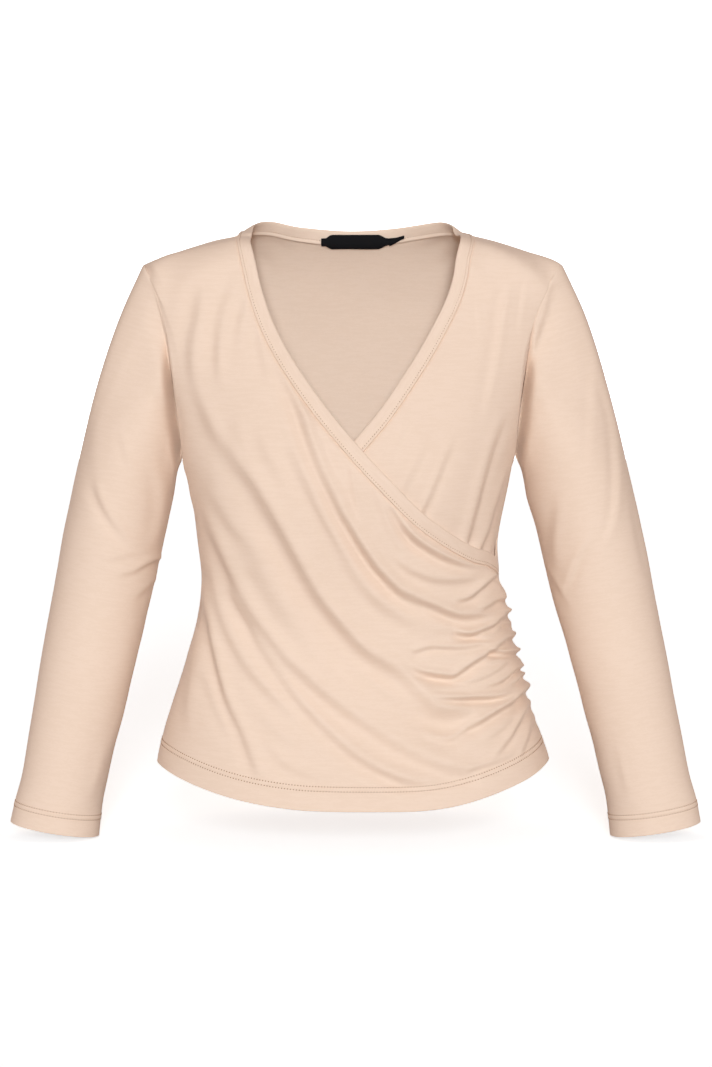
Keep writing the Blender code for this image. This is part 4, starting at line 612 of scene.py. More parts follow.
def settle(points):
    """The points moved on to the torso's form."""
    points = np.array(points, float)
    for _ in range(SETTLE_ROUNDS):
        slope = gradient(points)
        pull = field(points) / np.maximum((slope ** 2).sum(-1), MIN_SLOPE)
        points = points - np.clip(pull, -SETTLE_STEP, SETTLE_STEP)[..., None] * slope
    return points


EYE_COS, EYE_SIN = math.cos(EYE_ELEVATION), math.sin(EYE_ELEVATION)
EYE = np.array([EYE_ACROSS, -EYE_DISTANCE * EYE_COS, EYE_TARGET_HEIGHT + EYE_DISTANCE * EYE_SIN])


def elevation(points):
    """Where the eye sees each point on the elevation, as (across, down)."""
    x, y, z = points[..., 0] - EYE_ACROSS, points[..., 1], points[..., 2] - EYE_TARGET_HEIGHT
    scale = EYE_DISTANCE / (EYE_DISTANCE + y * EYE_COS - z * EYE_SIN)
    return np.stack([x * scale + EYE_ACROSS,
                     EYE_TARGET_DOWN - (y * EYE_SIN + z * EYE_COS) * scale], axis=-1)


def sight(course):
    """The points of the form's front that the eye sees at (across, down)."""
    course = np.array(course, float)
    up = EYE_TARGET_DOWN - course[:, 1]
    on_plane = np.stack([course[:, 0], up * EYE_SIN, up * EYE_COS + EYE_TARGET_HEIGHT], axis=-1)
    ray = unit(on_plane - EYE)
    reach = np.linspace(*SIGHT_REACH, SIGHT_STEPS)
    values = field(on_plane[:, None] + reach[:, None] * ray[:, None])
    hit = values < 0
    first = np.where(hit.any(axis=1), hit.argmax(axis=1), values.argmin(axis=1))
    found = halve(reach[np.maximum(first - 1, 0)], reach[first],
                  lambda middle: field(on_plane + middle[:, None] * ray) > 0)
    return settle(on_plane + found[:, None] * ray)


# ------------------------------------------------------------------------- folds

def beside(course, places):
    """Signed distance from a course (+ to the left of its travel), and its last column there."""
    line = smooth_line(course, COURSE_STEPS)
    line_up, spots = line[:, :2] * (1, -1), places * (1, -1)
    start, step = line_up[:-1], np.diff(line_up, axis=0)
    offset = spots[:, None, :] - start[None]
    share = np.clip((offset * step).sum(-1) / (step ** 2).sum(1), 0, 1)
    gap = offset - share[..., None] * step
    near = np.argmin((gap ** 2).sum(-1), axis=1)
    pick = np.arange(len(spots))
    turn = step[near, 0] * gap[pick, near, 1] - step[near, 1] * gap[pick, near, 0]
    distance = np.linalg.norm(gap[pick, near], axis=1) * np.where(turn >= 0, 1, -1)
    t = share[pick, near]
    return distance, line[near, -1] * (1 - t) + line[near + 1, -1] * t


def relief(folds, places, wider=1.0):
    """How far the folds move the cloth out at each place, in millimetres."""
    shape = places.shape[:-1]
    places = places.reshape(-1, 2)
    total = np.zeros(len(places))
    for fold in folds:
        course = np.array(fold.course, float)[:, :2]
        near = np.all((places > course.min(0) - FOLD_REACH)
                      & (places < course.max(0) + FOLD_REACH), axis=1)
        if near.any():
            distance, strength = beside(fold.course, places[near])
            width = wider * np.where(distance > 0, fold.left, fold.right)
            size = fold.slope * distance if "slope" in fold._fields else -fold.depth
            total[near] += strength * size * np.exp(-0.5 * (distance / width) ** 2)
    return total.reshape(shape)


def unevenness(cloth, rough):
    """Soft, seeded ups and downs over a cloth's own coordinates."""
    rng = np.random.default_rng(rough.seed)
    total = np.zeros(cloth.shape[:2])
    for _ in range(rough.waves):
        wave = rng.uniform(rough.shortest, rough.longest)
        way = rng.uniform(0, math.pi)
        phase = rng.uniform(0, 2 * math.pi)
        along = cloth[..., 0] * math.cos(way) + cloth[..., 1] * math.sin(way)
        total += wave / rough.longest * np.sin(2 * math.pi * along / wave + phase)
    return rough.size * total / math.sqrt(rough.waves)


# ------------------------------------------------------------------------- seams

def side_point(height, forward, side):
    """A point on the torso's side, at a height and a distance forward of the middle."""
    width = torso(side < 0, "right", "left", height)
    depth = torso(forward > 0, "front", "back", height)
    share = (1 - (np.abs(forward) / depth) ** SQUARENESS) ** (1 / SQUARENESS)
    return np.stack([side * width * share, -forward, height], axis=-1)


def side_seam(side, top, bottom, steps):
    heights = np.linspace(top, bottom, steps + 1)
    forward = column(LEFT_SEAM, "forward", heights) * (side > 0)
    return settle(side_point(heights, forward, side))


def armhole(side, turns):
    """Armhole points at turns in degrees: 90 is the shoulder, 180 front, 270 underarm."""
    turns = np.radians(turns)

    def spots(reach):
        height = ARMHOLE_CENTRE + reach * np.sin(turns)
        across = side * column(ARMHOLE, side_name(side), height)
        return np.stack([across, reach * np.cos(turns), height], axis=-1)
    return spots(halve(0.0, ARMHOLE_REACH, lambda reach: field(spots(reach)) < 0))


def shoulder_seam(side):
    neck = np.array(NECK_RIGHT if side < 0 else NECK_LEFT)
    share = np.linspace(0, 1, SHOULDER_STEPS + 1)[:, None]
    return settle(neck * (1 - share) + armhole(side, [90]) * share)


def hem_line(side, count):
    """The hem from the right side to the left, round the front (-1) or the back (1)."""
    turns = np.linspace(math.pi, 0, count + 1)
    height = np.full(count + 1, SIDE_HEM_HEIGHT)
    for _ in range(HEM_ROUNDS):
        width = torso(np.cos(turns) < 0, "right", "left", height)
        depth = torso(side < 0, "front", "back", height)
        x = np.sign(np.cos(turns)) * width * np.abs(np.cos(turns)) ** (2 / SQUARENESS)
        y = side * depth * np.sin(turns).clip(0) ** (2 / SQUARENESS)
        power = np.where(x < 0, *HEM_POWERS) if side < 0 else BACK_HEM_POWER
        height = SIDE_HEM_HEIGHT - HEM_DROP * (np.abs(y) / HEM_DEPTH) ** power
        if side < 0:
            height -= bell(x - HEM_SAG_AT, HEM_SAG, HEM_SAG_WIDTH)
    return even_steps(np.stack([x, y, height], axis=-1), count)


def overlap_seam():
    """The overlap's edge, from the right shoulder down to the left side seam."""
    end = side_seam(1, OVERLAP_END, OVERLAP_END, 0)
    line = np.vstack([shoulder_seam(-1)[0], sight(OVERLAP_SEAM), end])
    return settle(smooth_line(line, OVERLAP_STEPS))


def underlap_side(heights):
    """Where the underlap ends, just in front of the right side seam."""
    heights = np.array(heights, float)
    return settle(side_point(heights, np.full(len(heights), UNDERLAP_SHORT), -1))


def underlap_seam():
    """The underlap's edge, from the left shoulder down to the right side seam."""
    line = np.vstack([shoulder_seam(1)[0], sight(UNDERLAP_SEAM), underlap_side([UNDERLAP_BOUND])])
    return settle(smooth_line(line, ARMHOLE_STEPS + UNDERLAP_SIDE_STEPS))


def back_neck_seam():
    line = np.vstack([shoulder_seam(-1)[0], BACK_NECK_SEAM, shoulder_seam(1)[0]])
    return settle(smooth_line(line, BACK_NECK_STEPS))


def armhole_and_side(side, turns, bottom, steps):
    """From the shoulder's tip round the armhole, then down the side seam."""
    return np.vstack([armhole(side, turns)[:-1], side_seam(side, UNDERARM, bottom, steps)])


# ------------------------------------------------------------------------ panels

def coons(first, last, start, end):
    """A net of points between four seams: first and last run from start to end."""
    def shares(a, b):
        return 0.5 * (lengths(a) / lengths(a)[-1] + lengths(b) / lengths(b)[-1])
    u = shares(first, last)[None, :, None]
    t = shares(start, end)[:, None, None]
    across = start[:, None] * (1 - u) + end[:, None] * u
    down = first[None] * (1 - t) + last[None] * t
    corners = ((first[0] * (1 - u) + first[-1] * u) * (1 - t)
               + (last[0] * (1 - u) + last[-1] * u) * t)
    return relax(across + down - corners)


def relax(net):
    """Even out a net inside its seams, keeping it on the torso's form."""
    inner = net[1:-1, 1:-1]
    colour = np.indices(inner.shape[:2]).sum(axis=0)[..., None] % 2
    for _ in range(RELAX_ROUNDS):
        for sweep in range(2 * RELAX_SWEEPS):
            mean = 0.25 * (net[:-2, 1:-1] + net[2:, 1:-1] + net[1:-1, :-2] + net[1:-1, 2:])
            inner[:] = np.where(colour == sweep % 2, mean, inner)
        inner[:] = settle(inner)
    return net


def refine_rows(net, steps, corners=(), around=False):
    """A net with finer rows on Catmull-Rom curves, which start afresh at the corners given."""
    t = (np.arange(steps) / steps).reshape((1, steps) + (1,) * (net.ndim - 1))
    stops = [0, *corners, len(net) - 1]
    fine = []
    for start, stop in zip(stops, stops[1:]):
        run = net[start:stop + 1]
        padded = np.concatenate([2 * run[:1] - run[1:2], run, 2 * run[-1:] - run[-2:-1]])
        if around:
            padded = np.concatenate([run[-1:], run, run[:2]])
        a, b, c, d = [padded[k:len(padded) - 3 + k, None] for k in range(4)]
        curve = 0.5 * (2 * b + (c - a) * t + (2 * a - 5 * b + 4 * c - d) * t ** 2
                       + (3 * b - a - 3 * c + d) * t ** 3)
        fine.append(curve.reshape((-1,) + net.shape[1:]))
    return np.concatenate(fine if around else fine + [net[-1:]])


def refine(net, finer, row_corners=(), column_corners=(), around=False):
    """A finer net. Where its seams have corners, it follows them near those seams."""
    fine = refine_rows(net, finer.rows)
    if row_corners:
        k = np.arange(net.shape[1])
        near = (bell(k, 1, CORNER_REACH) + bell(k[::-1], 1, CORNER_REACH)).clip(0, 1)
        split = refine_rows(net, finer.rows, row_corners)
        fine = fine + (split - fine) * near.reshape(1, -1, 1)
    turned = fine.transpose(1, 0, 2)
    fine = refine_rows(turned, finer.columns, around=around)
    if column_corners:
        near = bell(np.arange(turned.shape[1]) / finer.rows, 1, CORNER_REACH)
        split = refine_rows(turned, finer.columns, column_corners)
        fine = fine + (split - fine) * near.reshape(1, -1, 1)
    return fine.transpose(1, 0, 2)


def straight_rows(net, parts):
    """A net with each row's step cut into straight parts."""
    t = (np.arange(parts) / parts).reshape(1, parts, 1, 1)
    fine = net[:-1, None] * (1 - t) + net[1:, None] * t
    return np.concatenate([fine.reshape((-1,) + net.shape[1:]), net[-1:]])


def finer_ends(net):
    """A net whose rows beside its first seam and at its hem are cut finer again."""
    (top, top_parts), (low, low_parts) = FINER_SEAM, FINER_HEM
    return np.concatenate([straight_rows(net[:top + 1], top_parts)[:-1], net[top:-low - 1],
                           straight_rows(net[-low - 1:], low_parts)])


def edge_distance(net, edge):
    """How far each point of a net lies from one of its edges, along the net."""
    axis = 0 if edge in ("first", "last") else 1
    if edge in ("last", "end"):
        net = np.flip(net, axis)
    steps = np.linalg.norm(np.diff(net, axis=axis), axis=-1)
    away = np.insert(np.cumsum(steps, axis=axis), 0, 0, axis=axis)
    return np.flip(away, axis) if edge in ("last", "end") else away


def faded(net, fade):
    """1 over a net, and down to 0 at its edges over the distances given."""
    share = np.ones(net.shape[:2])
    for edge, reach in fade._asdict().items():
        if reach:
            share *= ramp(edge_distance(net, edge), 0, reach)
    return share


def cover(places):
    """How far a place on the elevation lies under the overlap, from its free edge."""
    course = [OVERLAP_LEAD] + OVERLAP_SEAM + [OVERLAP_TRAIL]
    return (BAND_WIDTH - beside(course, places.reshape(-1, 2))[0]).reshape(places.shape[:-1])


def underlap_offset(points):
    """How far the underlap lies inside the form."""
    under = cover(elevation(points))
    binding, behind, folds = [sink.depth * ramp(under, sink.start, sink.end)
                              for sink in (UNDER_BINDING, BEHIND_BINDING, BEHIND_FOLDS)]
    inland = ramp(np.abs(points[..., 1]), 0, UNDERLAP_SIDE_FADE)
    return -(binding + behind + folds * inland)


def overlap_net():
    start = np.vstack([shoulder_seam(-1)[:-1],
                       armhole_and_side(-1, FRONT_TURNS, SIDE_HEM_HEIGHT, SIDE_STEPS)])
    end = side_seam(1, OVERLAP_END, SIDE_HEM_HEIGHT, len(start) - 1)
    net = coons(overlap_seam(), hem_line(-1, OVERLAP_STEPS), start, end)
    corners = (SHOULDER_STEPS, SHOULDER_STEPS + ARMHOLE_STEPS)
    return finer_ends(refine(net, OVERLAP_FINER, corners))


def underlap_low_edge(start, end):
    """The underlap's hidden lower edge: across the front, then up to the left seam."""
    share = np.linspace(0, 1, COURSE_STEPS)
    turns = math.pi * (1 - share)
    x = np.where(turns > math.pi / 2, -start[0], end[0]) * np.cos(turns)
    z = start[2] + (end[2] - start[2]) * share ** 3
    line = settle(np.stack([x, -column(SECTIONS, "front", z) * np.sin(turns), z], axis=-1))
    line[0], line[-1] = start, end
    return line


def underlap_net():
    start = underlap_seam()
    end = armhole_and_side(1, FRONT_TURNS, OVERLAP_END, UNDERLAP_SIDE_STEPS)
    corner = underlap_side(np.linspace(start[-1][2], UNDERLAP_EDGE, UNDERLAP_CORNER_STEPS + 1))
    low = np.vstack([corner[:-1], underlap_low_edge(corner[-1], end[-1])])
    first, last = [even_steps(line, UNDERLAP_COLUMNS) for line in (shoulder_seam(1), low)]
    return refine(coons(first, settle(last), start, end), UNDERLAP_FINER, (ARMHOLE_STEPS,))


def back_net():
    start, end = [armhole_and_side(side, BACK_TURNS, SIDE_HEM_HEIGHT, BACK_SIDE_STEPS)
                  for side in (-1, 1)]
    first = np.vstack([shoulder_seam(-1)[:0:-1], back_neck_seam()[:-1], shoulder_seam(1)])
    net = coons(first, hem_line(1, len(first) - 1), start, end)
    corners = (SHOULDER_STEPS, SHOULDER_STEPS + BACK_NECK_STEPS)
    return finer_ends(refine(net, BACK_FINER, (ARMHOLE_STEPS,), corners))


def sleeve_net(side):
    """Rings of points from the armhole down to the cuff, each from its outer side forwards."""
    turns = np.concatenate([FRONT_TURNS[:-1], BACK_TURNS[:0:-1] + 360])
    seam = armhole(side, turns)
    along = unit(np.roll(seam, -1, axis=0) - np.roll(seam, 1, axis=0))
    leave = unit(np.cross(along, outward(seam)))
    leave *= np.where((leave[:, :1] * side) < 0, -1, 1)
    leave[:, 1] *= 1 - CAP_FLATTEN * ramp(-seam[:, 2], *CAP_FLAT_DOWN)
    across = [getattr(ring, side_name(side)) for ring in RINGS]
    turn = np.linspace(0, 2 * math.pi, len(seam), endpoint=False)[:, None]
    tube, axes = [], []
    for k, ring in enumerate(RINGS):
        before, after = max(k - 1, 0), min(k + 1, len(RINGS) - 1)
        axis = unit(np.array([across[after] - across[before], 0,
                              RINGS[after].height - RINGS[before].height]))
        half_width = getattr(ring, side_name(side) + "_width")
        points = (np.array([across[k], -ring.forward, ring.height])
                  + half_width * np.cos(turn) * (-axis[2], 0, axis[0])
                  - ring.depth * np.sin(turn) * (0, 1, 0))
        tube.append(points * (side, 1, 1))
        axes.append(axis * (side, 1, 1))
    upper, down = tube[0], axes[0]
    span = np.linalg.norm(upper - seam, axis=1, keepdims=True)
    pull = unit(CAP_PULL * unit(leave) + CAP_FALL * down) * span
    t = (np.arange(CAP_STEPS) / CAP_STEPS)[:, None, None]
    caps = (seam * (1 + 2 * t) * (1 - t) ** 2 + upper * t * t * (3 - 2 * t)
            + pull * t * (1 - t) ** 2 - down * span * t * t * (1 - t))
    return finer_ends(refine(np.concatenate([caps, tube]), SLEEVE_FINER, around=True))


def tube_normals(net):
    """Outward normals of a tube of rings, whose first axis runs along it."""
    around = np.roll(net, -1, axis=1) - np.roll(net, 1, axis=1)
    normals = unit(np.cross(np.gradient(net, axis=0), around))
    middle = net.mean(axis=1, keepdims=True)
    return normals * np.sign(((net - middle) * normals).sum(-1).mean())


# ------------------------------------------------------------------- making meshes

def new_object(name, points, faces, material, cloth=None):
    """A smooth mesh object from points in millimetres, with its cloth coordinates."""
    data = bpy.data.meshes.new(name)
    data.from_pydata((np.asarray(points) * MM).tolist(), [], faces)
    if cloth is not None:
        spots = np.zeros((len(points), 3), np.float32)
        spots[:, :2] = cloth * MM
        data.attributes.new("cloth", "FLOAT_VECTOR", "POINT").data.foreach_set(
            "vector", spots.ravel())
    mesh = bmesh.new()
    mesh.from_mesh(data)
    bmesh.ops.recalc_face_normals(mesh, faces=mesh.faces)
    mesh.to_mesh(data)
    mesh.free()
    data.shade_smooth()
    data.materials.append(material)
    return add_object(name, data)


def add_object(name, data):
    thing = bpy.data.objects.new(name, data)
    bpy.context.scene.collection.objects.link(thing)
    return thing


def quads_between(rows, columns, around=False):
    """The numbers of a net's points, row by row, and its four-sided faces."""
    index = np.arange(rows * columns).reshape(rows, columns)
    if around:
        index = np.concatenate([index, index[:, :1]], axis=1)
    corners = [index[:-1, :-1], index[:-1, 1:], index[1:, 1:], index[1:, :-1]]
    return index, np.stack(corners, axis=-1).reshape(-1, 4)


def shell(name, outer, inner, cloth, material, around=False):
    """A closed cloth wall between two nets, with rounded rims."""
    rows, columns = outer.shape[:2]
    under = rows * columns
    index, quads = quads_between(rows, columns, around)
    faces = quads.tolist() + (quads[:, ::-1] + under).tolist()
    points = [outer.reshape(-1, 3), inner.reshape(-1, 3)]
    spots = [cloth.reshape(-1, 2)] * 2
    inland = np.arange(under).reshape(rows, columns)
    inland = inland[np.clip(np.arange(rows), 1, rows - 2)]
    if around:
        rims = [index[0], index[-1, ::-1]]
    else:
        inland = inland[:, np.clip(np.arange(columns), 1, columns - 2)]
        rims = [np.concatenate([index[0], index[1:, -1], index[-1, -2::-1],
                                index[-2::-1, 0]])]
    following = 2 * under
    for rim in rims:
        loop = rim[:-1]
        away = unit(points[0][loop] - points[0][inland.ravel()[loop]])
        points.append(0.5 * (points[0][loop] + points[1][loop]) + RIM_BULGE * away)
        spots.append(spots[0][loop])
        middle = following + np.arange(len(loop))
        after, middle_after = np.roll(loop, -1), np.roll(middle, -1)
        for four in ((after, loop, middle, middle_after),
                     (middle_after, middle, loop + under, after + under)):
            faces += np.stack(four, axis=-1).tolist()
        following += len(loop)
    return new_object(name, np.vstack(points), faces, material, np.vstack(spots))


def at_distance(values, distance, reach):
    """Where each column of a net comes to a distance from its last row."""
    return np.array([[np.interp(reach, away[::-1], line[::-1]) for line in lines]
                     for away, lines in zip(distance.T, values.transpose(1, 2, 0))])


def stitches(name, runs, material, radius=STITCH_RADIUS):
    """A row of stitches along each line: small rounded lozenges, half sunk in the cloth."""
    share, width = STITCH_RINGS.T[:, None, :, None, None]
    turn = 2 * math.pi * np.arange(STITCH_SIDES)[:, None] / STITCH_SIDES
    points = []
    for line, normals in runs:
        along = lengths(line)
        count = int(along[-1] / STITCH_PITCH)
        spots = (np.arange(count) + 0.5) * along[-1] / count
        middle, way, before, after = [
            np.column_stack([np.interp(at, along, values) for values in source.T])
            for source, at in ((line, spots), (normals, spots), (line, spots - STITCH_REACH),
                               (line, spots + STITCH_REACH))]
        forward, up = unit(after - before), unit(way)
        aside = unit(np.cross(forward, up))
        middle, forward, up, aside = [v[:, None, None] for v in (middle, forward, up, aside)]
        points.append((middle + forward * share * STITCH_LENGTH
                       + radius * width * (aside * np.cos(turn) + up * np.sin(turn))).reshape(-1, 3))
    points = np.vstack(points)
    index, quads = quads_between(len(STITCH_RINGS), STITCH_SIDES, around=True)
    one = quads.tolist() + [index[0, -2::-1].tolist(), index[-1, :-1].tolist()]
    faces = [[base + k for k in face] for base in range(0, len(points), index.max() + 1)
             for face in one]
    return new_object(name, points, faces, material)


def torso_cloth(net):
    """A panel's coordinates in its own cloth: round the body, and up."""
    turn = np.arctan2(net[..., 0], np.abs(net[..., 1]) + TURN_DEPTH)
    return np.stack([turn * TURN_SPAN, net[..., 2]], axis=-1)


def puff(net):
    """How far the gathered cloth fills out along the left side seam."""
    down = -net[..., 2]
    return (bell(edge_distance(net, "end"), PUFF, PUFF_WIDTH) * ramp(down, *PUFF_START)
            * (1 - ramp(down, *PUFF_END)))


def valley(net, edge, width):
    """How the cloth falls back beside the armholes, between the body and the sleeve."""
    seam = {"start": net[:, :1], "end": net[:, -1:], "first": net[:1]}[edge]
    in_front = ramp(-seam[..., 1], *VALLEY_TURN)
    depth = ((VALLEY_DEPTH * in_front - BACK_VALLEY_DEPTH * (1 - in_front))
             * ramp(-seam[..., 2], *VALLEY_START) * (1 - ramp(-seam[..., 2], *VALLEY_END)))
    return bell(edge_distance(net, edge), depth, width)[..., None] * (0, 1, 0)


# ---------------------------------------------------------------- the cut pieces

def sew(names, net, normals, cloth, out, edges, valleys, rows, materials, around=False):
    """A panel of cloth, moved out from its net, with its seams and its turned and sewn hem.

    Edges are those with a seam, valleys those that fall back by an armhole, with how wide,
    and rows are the hem's rows of stitches. The names are the panel's and its stitches'."""
    reach = edge_distance(net, "last")
    seams = sum(bell(edge_distance(net, edge), -SEAM_DEPTH, SEAM_WIDTH) for edge in edges)
    out, thick = out + seams, CLOTH_THICK
    if rows:
        out = (out + sum(bell(reach - row, -ROW_DEPTH, ROW_WIDTH) for row in rows)
               + bell(reach - sum(rows) / 2, TUNNEL_HEIGHT, TUNNEL_WIDTH))
        top = max(rows)
        thick = (thick + HEM_EXTRA * (1 - ramp(reach, top, top + HEM_EXTRA_END)))[..., None]
    outer = net + normals * out[..., None]
    outer = outer + sum(valley(net, edge, width) for edge, width in valleys.items())
    piece = shell(names[0], outer, outer - normals * thick, cloth, materials["jersey"], around)
    runs = [[at_distance(values, reach, row) for values in (outer, normals)] for row in rows]
    if around:
        runs = [[np.vstack([values, values[:1]]) for values in run] for run in runs]
    sewing = [stitches(names[1], runs, materials["thread_painted_shade"])] if rows else []
    return piece, sewing


def sew_torso(names, net, out, rough, fade, valleys, rows, materials):
    cloth = torso_cloth(net)
    out = out + unevenness(cloth, rough) * faded(net, fade)
    return sew(names, net, outward(net), cloth, out, ("first", "start", "end"), valleys, rows,
               materials)


def make_overlap(materials):
    net = overlap_net()
    places = elevation(net)
    ending = faded(net, GATHER_FADE)
    free = 1 - bell(edge_distance(net, "end"), GATHER_SEAM, GATHER_SEAM_WIDTH)
    gathers = GATHER_STRENGTH * relief(GATHERS, places, GATHER_WIDER) * free * ending
    folds = relief(OVERLAP_FOLDS, places, FOLD_WIDER) * faded(net, OVERLAP_FADE) + gathers
    out = (FOLD_STRENGTH * folds + relief(PINCHES, places) * ending + puff(net)
           + OVERLAP_LIFT * faded(net, LIFT_FADE))
    return sew_torso(("overlap_front", "overlap_hem_stitches"), net, out, OVERLAP_ROUGH,
                     OVERLAP_FADE, {"start": BODY_VALLEY}, HEM_ROWS, materials)


def make_underlap(materials):
    net = underlap_net()
    places = elevation(net)
    folds = (FOLD_STRENGTH * relief(UNDERLAP_FOLDS, places) * faded(net, UNDERLAP_FADE)
             * (1 - ramp(cover(places), *UNDERLAP_FOLDS_END)))
    return sew_torso(("underlap_front", None), net, folds + underlap_offset(net),
                     UNDERLAP_ROUGH, OVERLAP_FADE, {"end": BODY_VALLEY}, (), materials)


def make_back(materials):
    net = back_net()
    seam = elevation(net[:, -1:])
    gathers = (FOLD_STRENGTH * GATHER_STRENGTH * (1 - GATHER_SEAM)
               * relief(GATHERS, seam, GATHER_WIDER) + relief(PINCHES, seam))
    out = (relief(BACK_FOLDS, net[..., (0, 2)] * (1, -1)) * faded(net, BACK_FADE)
           + bell(edge_distance(net, "end"), gathers, GATHER_WRAP) + puff(net))
    return sew_torso(("back_panel", "back_hem_stitches"), net, out, BACK_ROUGH, BACK_FADE,
                     {"start": BODY_VALLEY, "end": BODY_VALLEY}, HEM_ROWS, materials)


def make_sleeve(name, side, front_folds, creases, rough, materials):
    net = sleeve_net(side)
    normals = tube_normals(net)
    reach, edge_reach = edge_distance(net, "first"), edge_distance(net, "last")
    # A tube's net starts at the armhole's top, which is its outer side further down.
    turn = np.tile(np.linspace(0, 360, net.shape[1], endpoint=False), (len(net), 1))
    places = np.stack([turn, -net[..., 2]], axis=-1)
    in_front, behind = (ramp(sign * normals[..., 1], *FACING_FADE) for sign in (-1, 1))
    folds = FOLD_STRENGTH * ramp(-net[..., 2], *SLEEVE_FOLDS_START) * (
        relief(front_folds, elevation(net)) * in_front
        + relief(SLEEVE_BACK_FOLDS, places) * behind)
    armpit = relief(creases, elevation(net)) * in_front * (1 - bell(reach, 1, CREASE_SEAM))
    # The waves die out at the armhole, and on the outer side, where the tube closes.
    waves = (unevenness(places, rough) * ramp(np.abs(turn - 180), 180, 0)
             * ramp(reach, 0, SLEEVE_ROUGH_START))
    around = np.linalg.norm(np.roll(net, -1, axis=1) - net, axis=-1).mean(axis=0)
    cloth = np.stack(np.broadcast_arrays(np.cumsum(around)[None], -edge_reach), axis=-1)
    return sew((name, name + "_stitches"), net, normals, cloth, folds + armpit + waves,
               ("first",), {"first": SLEEVE_VALLEY}, CUFF_ROWS, materials, around=True)


def band_line():
    """The binding's seam from the overlap's end, round the neck, to the underlap's end,
    how far the cloth stands out there, and how far along the back neck starts and ends."""
    over, neck, under = [refine_rows(seam, BAND_FINER)
                         for seam in (overlap_seam()[::-1], back_neck_seam(), underlap_seam())]
    reach = lengths(over)
    lift = (OVERLAP_LIFT * ramp(reach, 0, LIFT_FADE.end)
            * ramp(reach[-1] - reach, 0, LIFT_FADE.start))
    line = np.vstack([over, neck[1:-1], under])
    out = np.concatenate([lift, np.zeros(len(neck) - 2), underlap_offset(under)])
    return line, out, lengths(line)[[len(over) - 1, len(over) + len(neck) - 3]]


def band_ways(line, neck_ends):
    """At each point of the binding's seam: which way it lies across the cloth, which way it
    stands up round the back neck, which way it faces there, and how far it stands."""
    normals, along, reach = outward(line), unit(np.gradient(line, axis=0)), lengths(line)
    inwards = unit(np.cross(normals, along))
    inwards[((NECK_MIDDLE - line) * inwards).sum(-1) < 0] *= -1
    seam = side_seam(1, OVERLAP_END, OVERLAP_END + BAND_WIDTH, 1)
    turn = ramp(reach, 0, 2 * BAND_WIDTH)[:, None]
    inwards = unit(inwards * turn + unit(seam[1] - seam[0]) * (1 - turn))
    behind = np.minimum(reach - neck_ends[0], neck_ends[1] - reach)
    lean = column(BAND_LEANS, "degrees", np.abs(line[:, 0]))
    lean = np.radians(np.where(behind < 0, BAND_LEANS[-1].degrees, lean))[:, None]
    upright = np.cos(lean) * UP + np.sin(lean) * unit(line * (-1, -1, 0))
    upright = unit(upright - (upright * along).sum(-1, keepdims=True) * along)
    facing = unit(np.cross(upright, along))
    facing *= np.sign((facing * normals).sum(-1, keepdims=True))
    return inwards, upright, facing, (1 - ramp(-behind, *BAND_STAND))[:, None]


def make_band(materials):
    line, out, neck_ends = band_line()
    inwards, upright, facing, stand = band_ways(line, neck_ends)
    section, ways = [], []
    for row in BAND_PROFILE:
        spot = (settle(line + inwards * row.across) * (1 - stand)
                + (line + upright * row.across) * stand)
        way = unit(outward(spot) * (1 - stand) + facing * stand)
        section.append(spot + way * (out + row.height)[:, None])
        ways.append(way)
    net, ways = [np.array(rows).transpose(1, 0, 2) for rows in (section, ways)]
    index, quads = quads_between(*net.shape[:2], around=True)
    faces = quads.tolist() + [index[0, :-1].tolist(), index[-1, :-1].tolist()]
    across = [row.across for row in BAND_PROFILE]
    cloth = np.stack(np.broadcast_arrays(lengths(line)[:, None], np.array(across)), axis=-1)
    piece = new_object("neck_binding", net.reshape(-1, 3), faces, materials["jersey"],
                       cloth.reshape(-1, 2))
    outer_row = across.index(BAND_STITCH_ACROSS)
    inner_row = len(across) - 1 - across[::-1].index(BAND_STITCH_ACROSS)
    runs = [(net[:, row], sign * ways[:, row]) for row, sign in ((outer_row, 1), (inner_row, -1))]
    return piece, [stitches("binding_stitches", runs, materials["thread_painted_shade"], BAND_STITCH_RADIUS)]


def make_label(name, outline, material):
    """A woven strip inside the back neck, with the outline given."""
    steps_down, steps_across = LABEL_STEPS
    places = [row.across for row in outline]
    across = np.linspace(places[0], places[-1], steps_across)
    upper, lower = [np.interp(across, places, [getattr(row, edge) for row in outline])
                    for edge in ("upper", "lower")]
    share = np.linspace(0, 1, steps_down)[:, None]
    height = LABEL_TOP - (upper * (1 - share) + lower * share)
    x = np.broadcast_to(LABEL_MIDDLE + across, height.shape)
    back = halve(np.zeros_like(height), np.full_like(height, LABEL_REACH),
                 lambda middle: field(np.stack([x, middle, height], axis=-1)) < 0)
    # Above the seam it lies on the standing binding.
    seam = back_neck_seam()
    over = height - np.interp(x, seam[:, 0], seam[:, 2])
    on_band = ramp(over, *LABEL_ON_BAND)
    leaned = np.interp(x, seam[:, 0], seam[:, 1]) - over * math.tan(LABEL_LEAN)
    spot = np.stack([x, back + (leaned - back) * on_band, height], axis=-1)
    leaning = np.array([0, math.cos(LABEL_LEAN), math.sin(LABEL_LEAN)])
    way = unit(outward(spot) * (1 - on_band[..., None]) + leaning * on_band[..., None])
    off = LABEL_OFF + LABEL_OFF_LOW * share + LABEL_WAVE * np.sin(across / LABEL_WAVE_LENGTH)
    face = spot - way * off[..., None]
    cloth = np.stack([x, height - LABEL_TOP], axis=-1)
    return shell(name, face, face - way * LABEL_THICK, cloth, material)


# ----------------------------------------------------------------------- materials

def put(node, **sockets):
    """Constant values for a node's sockets, with _ for the spaces in their names."""
    for name, value in sockets.items():
        node.inputs[name.replace("_", " ")].default_value = value
    return node


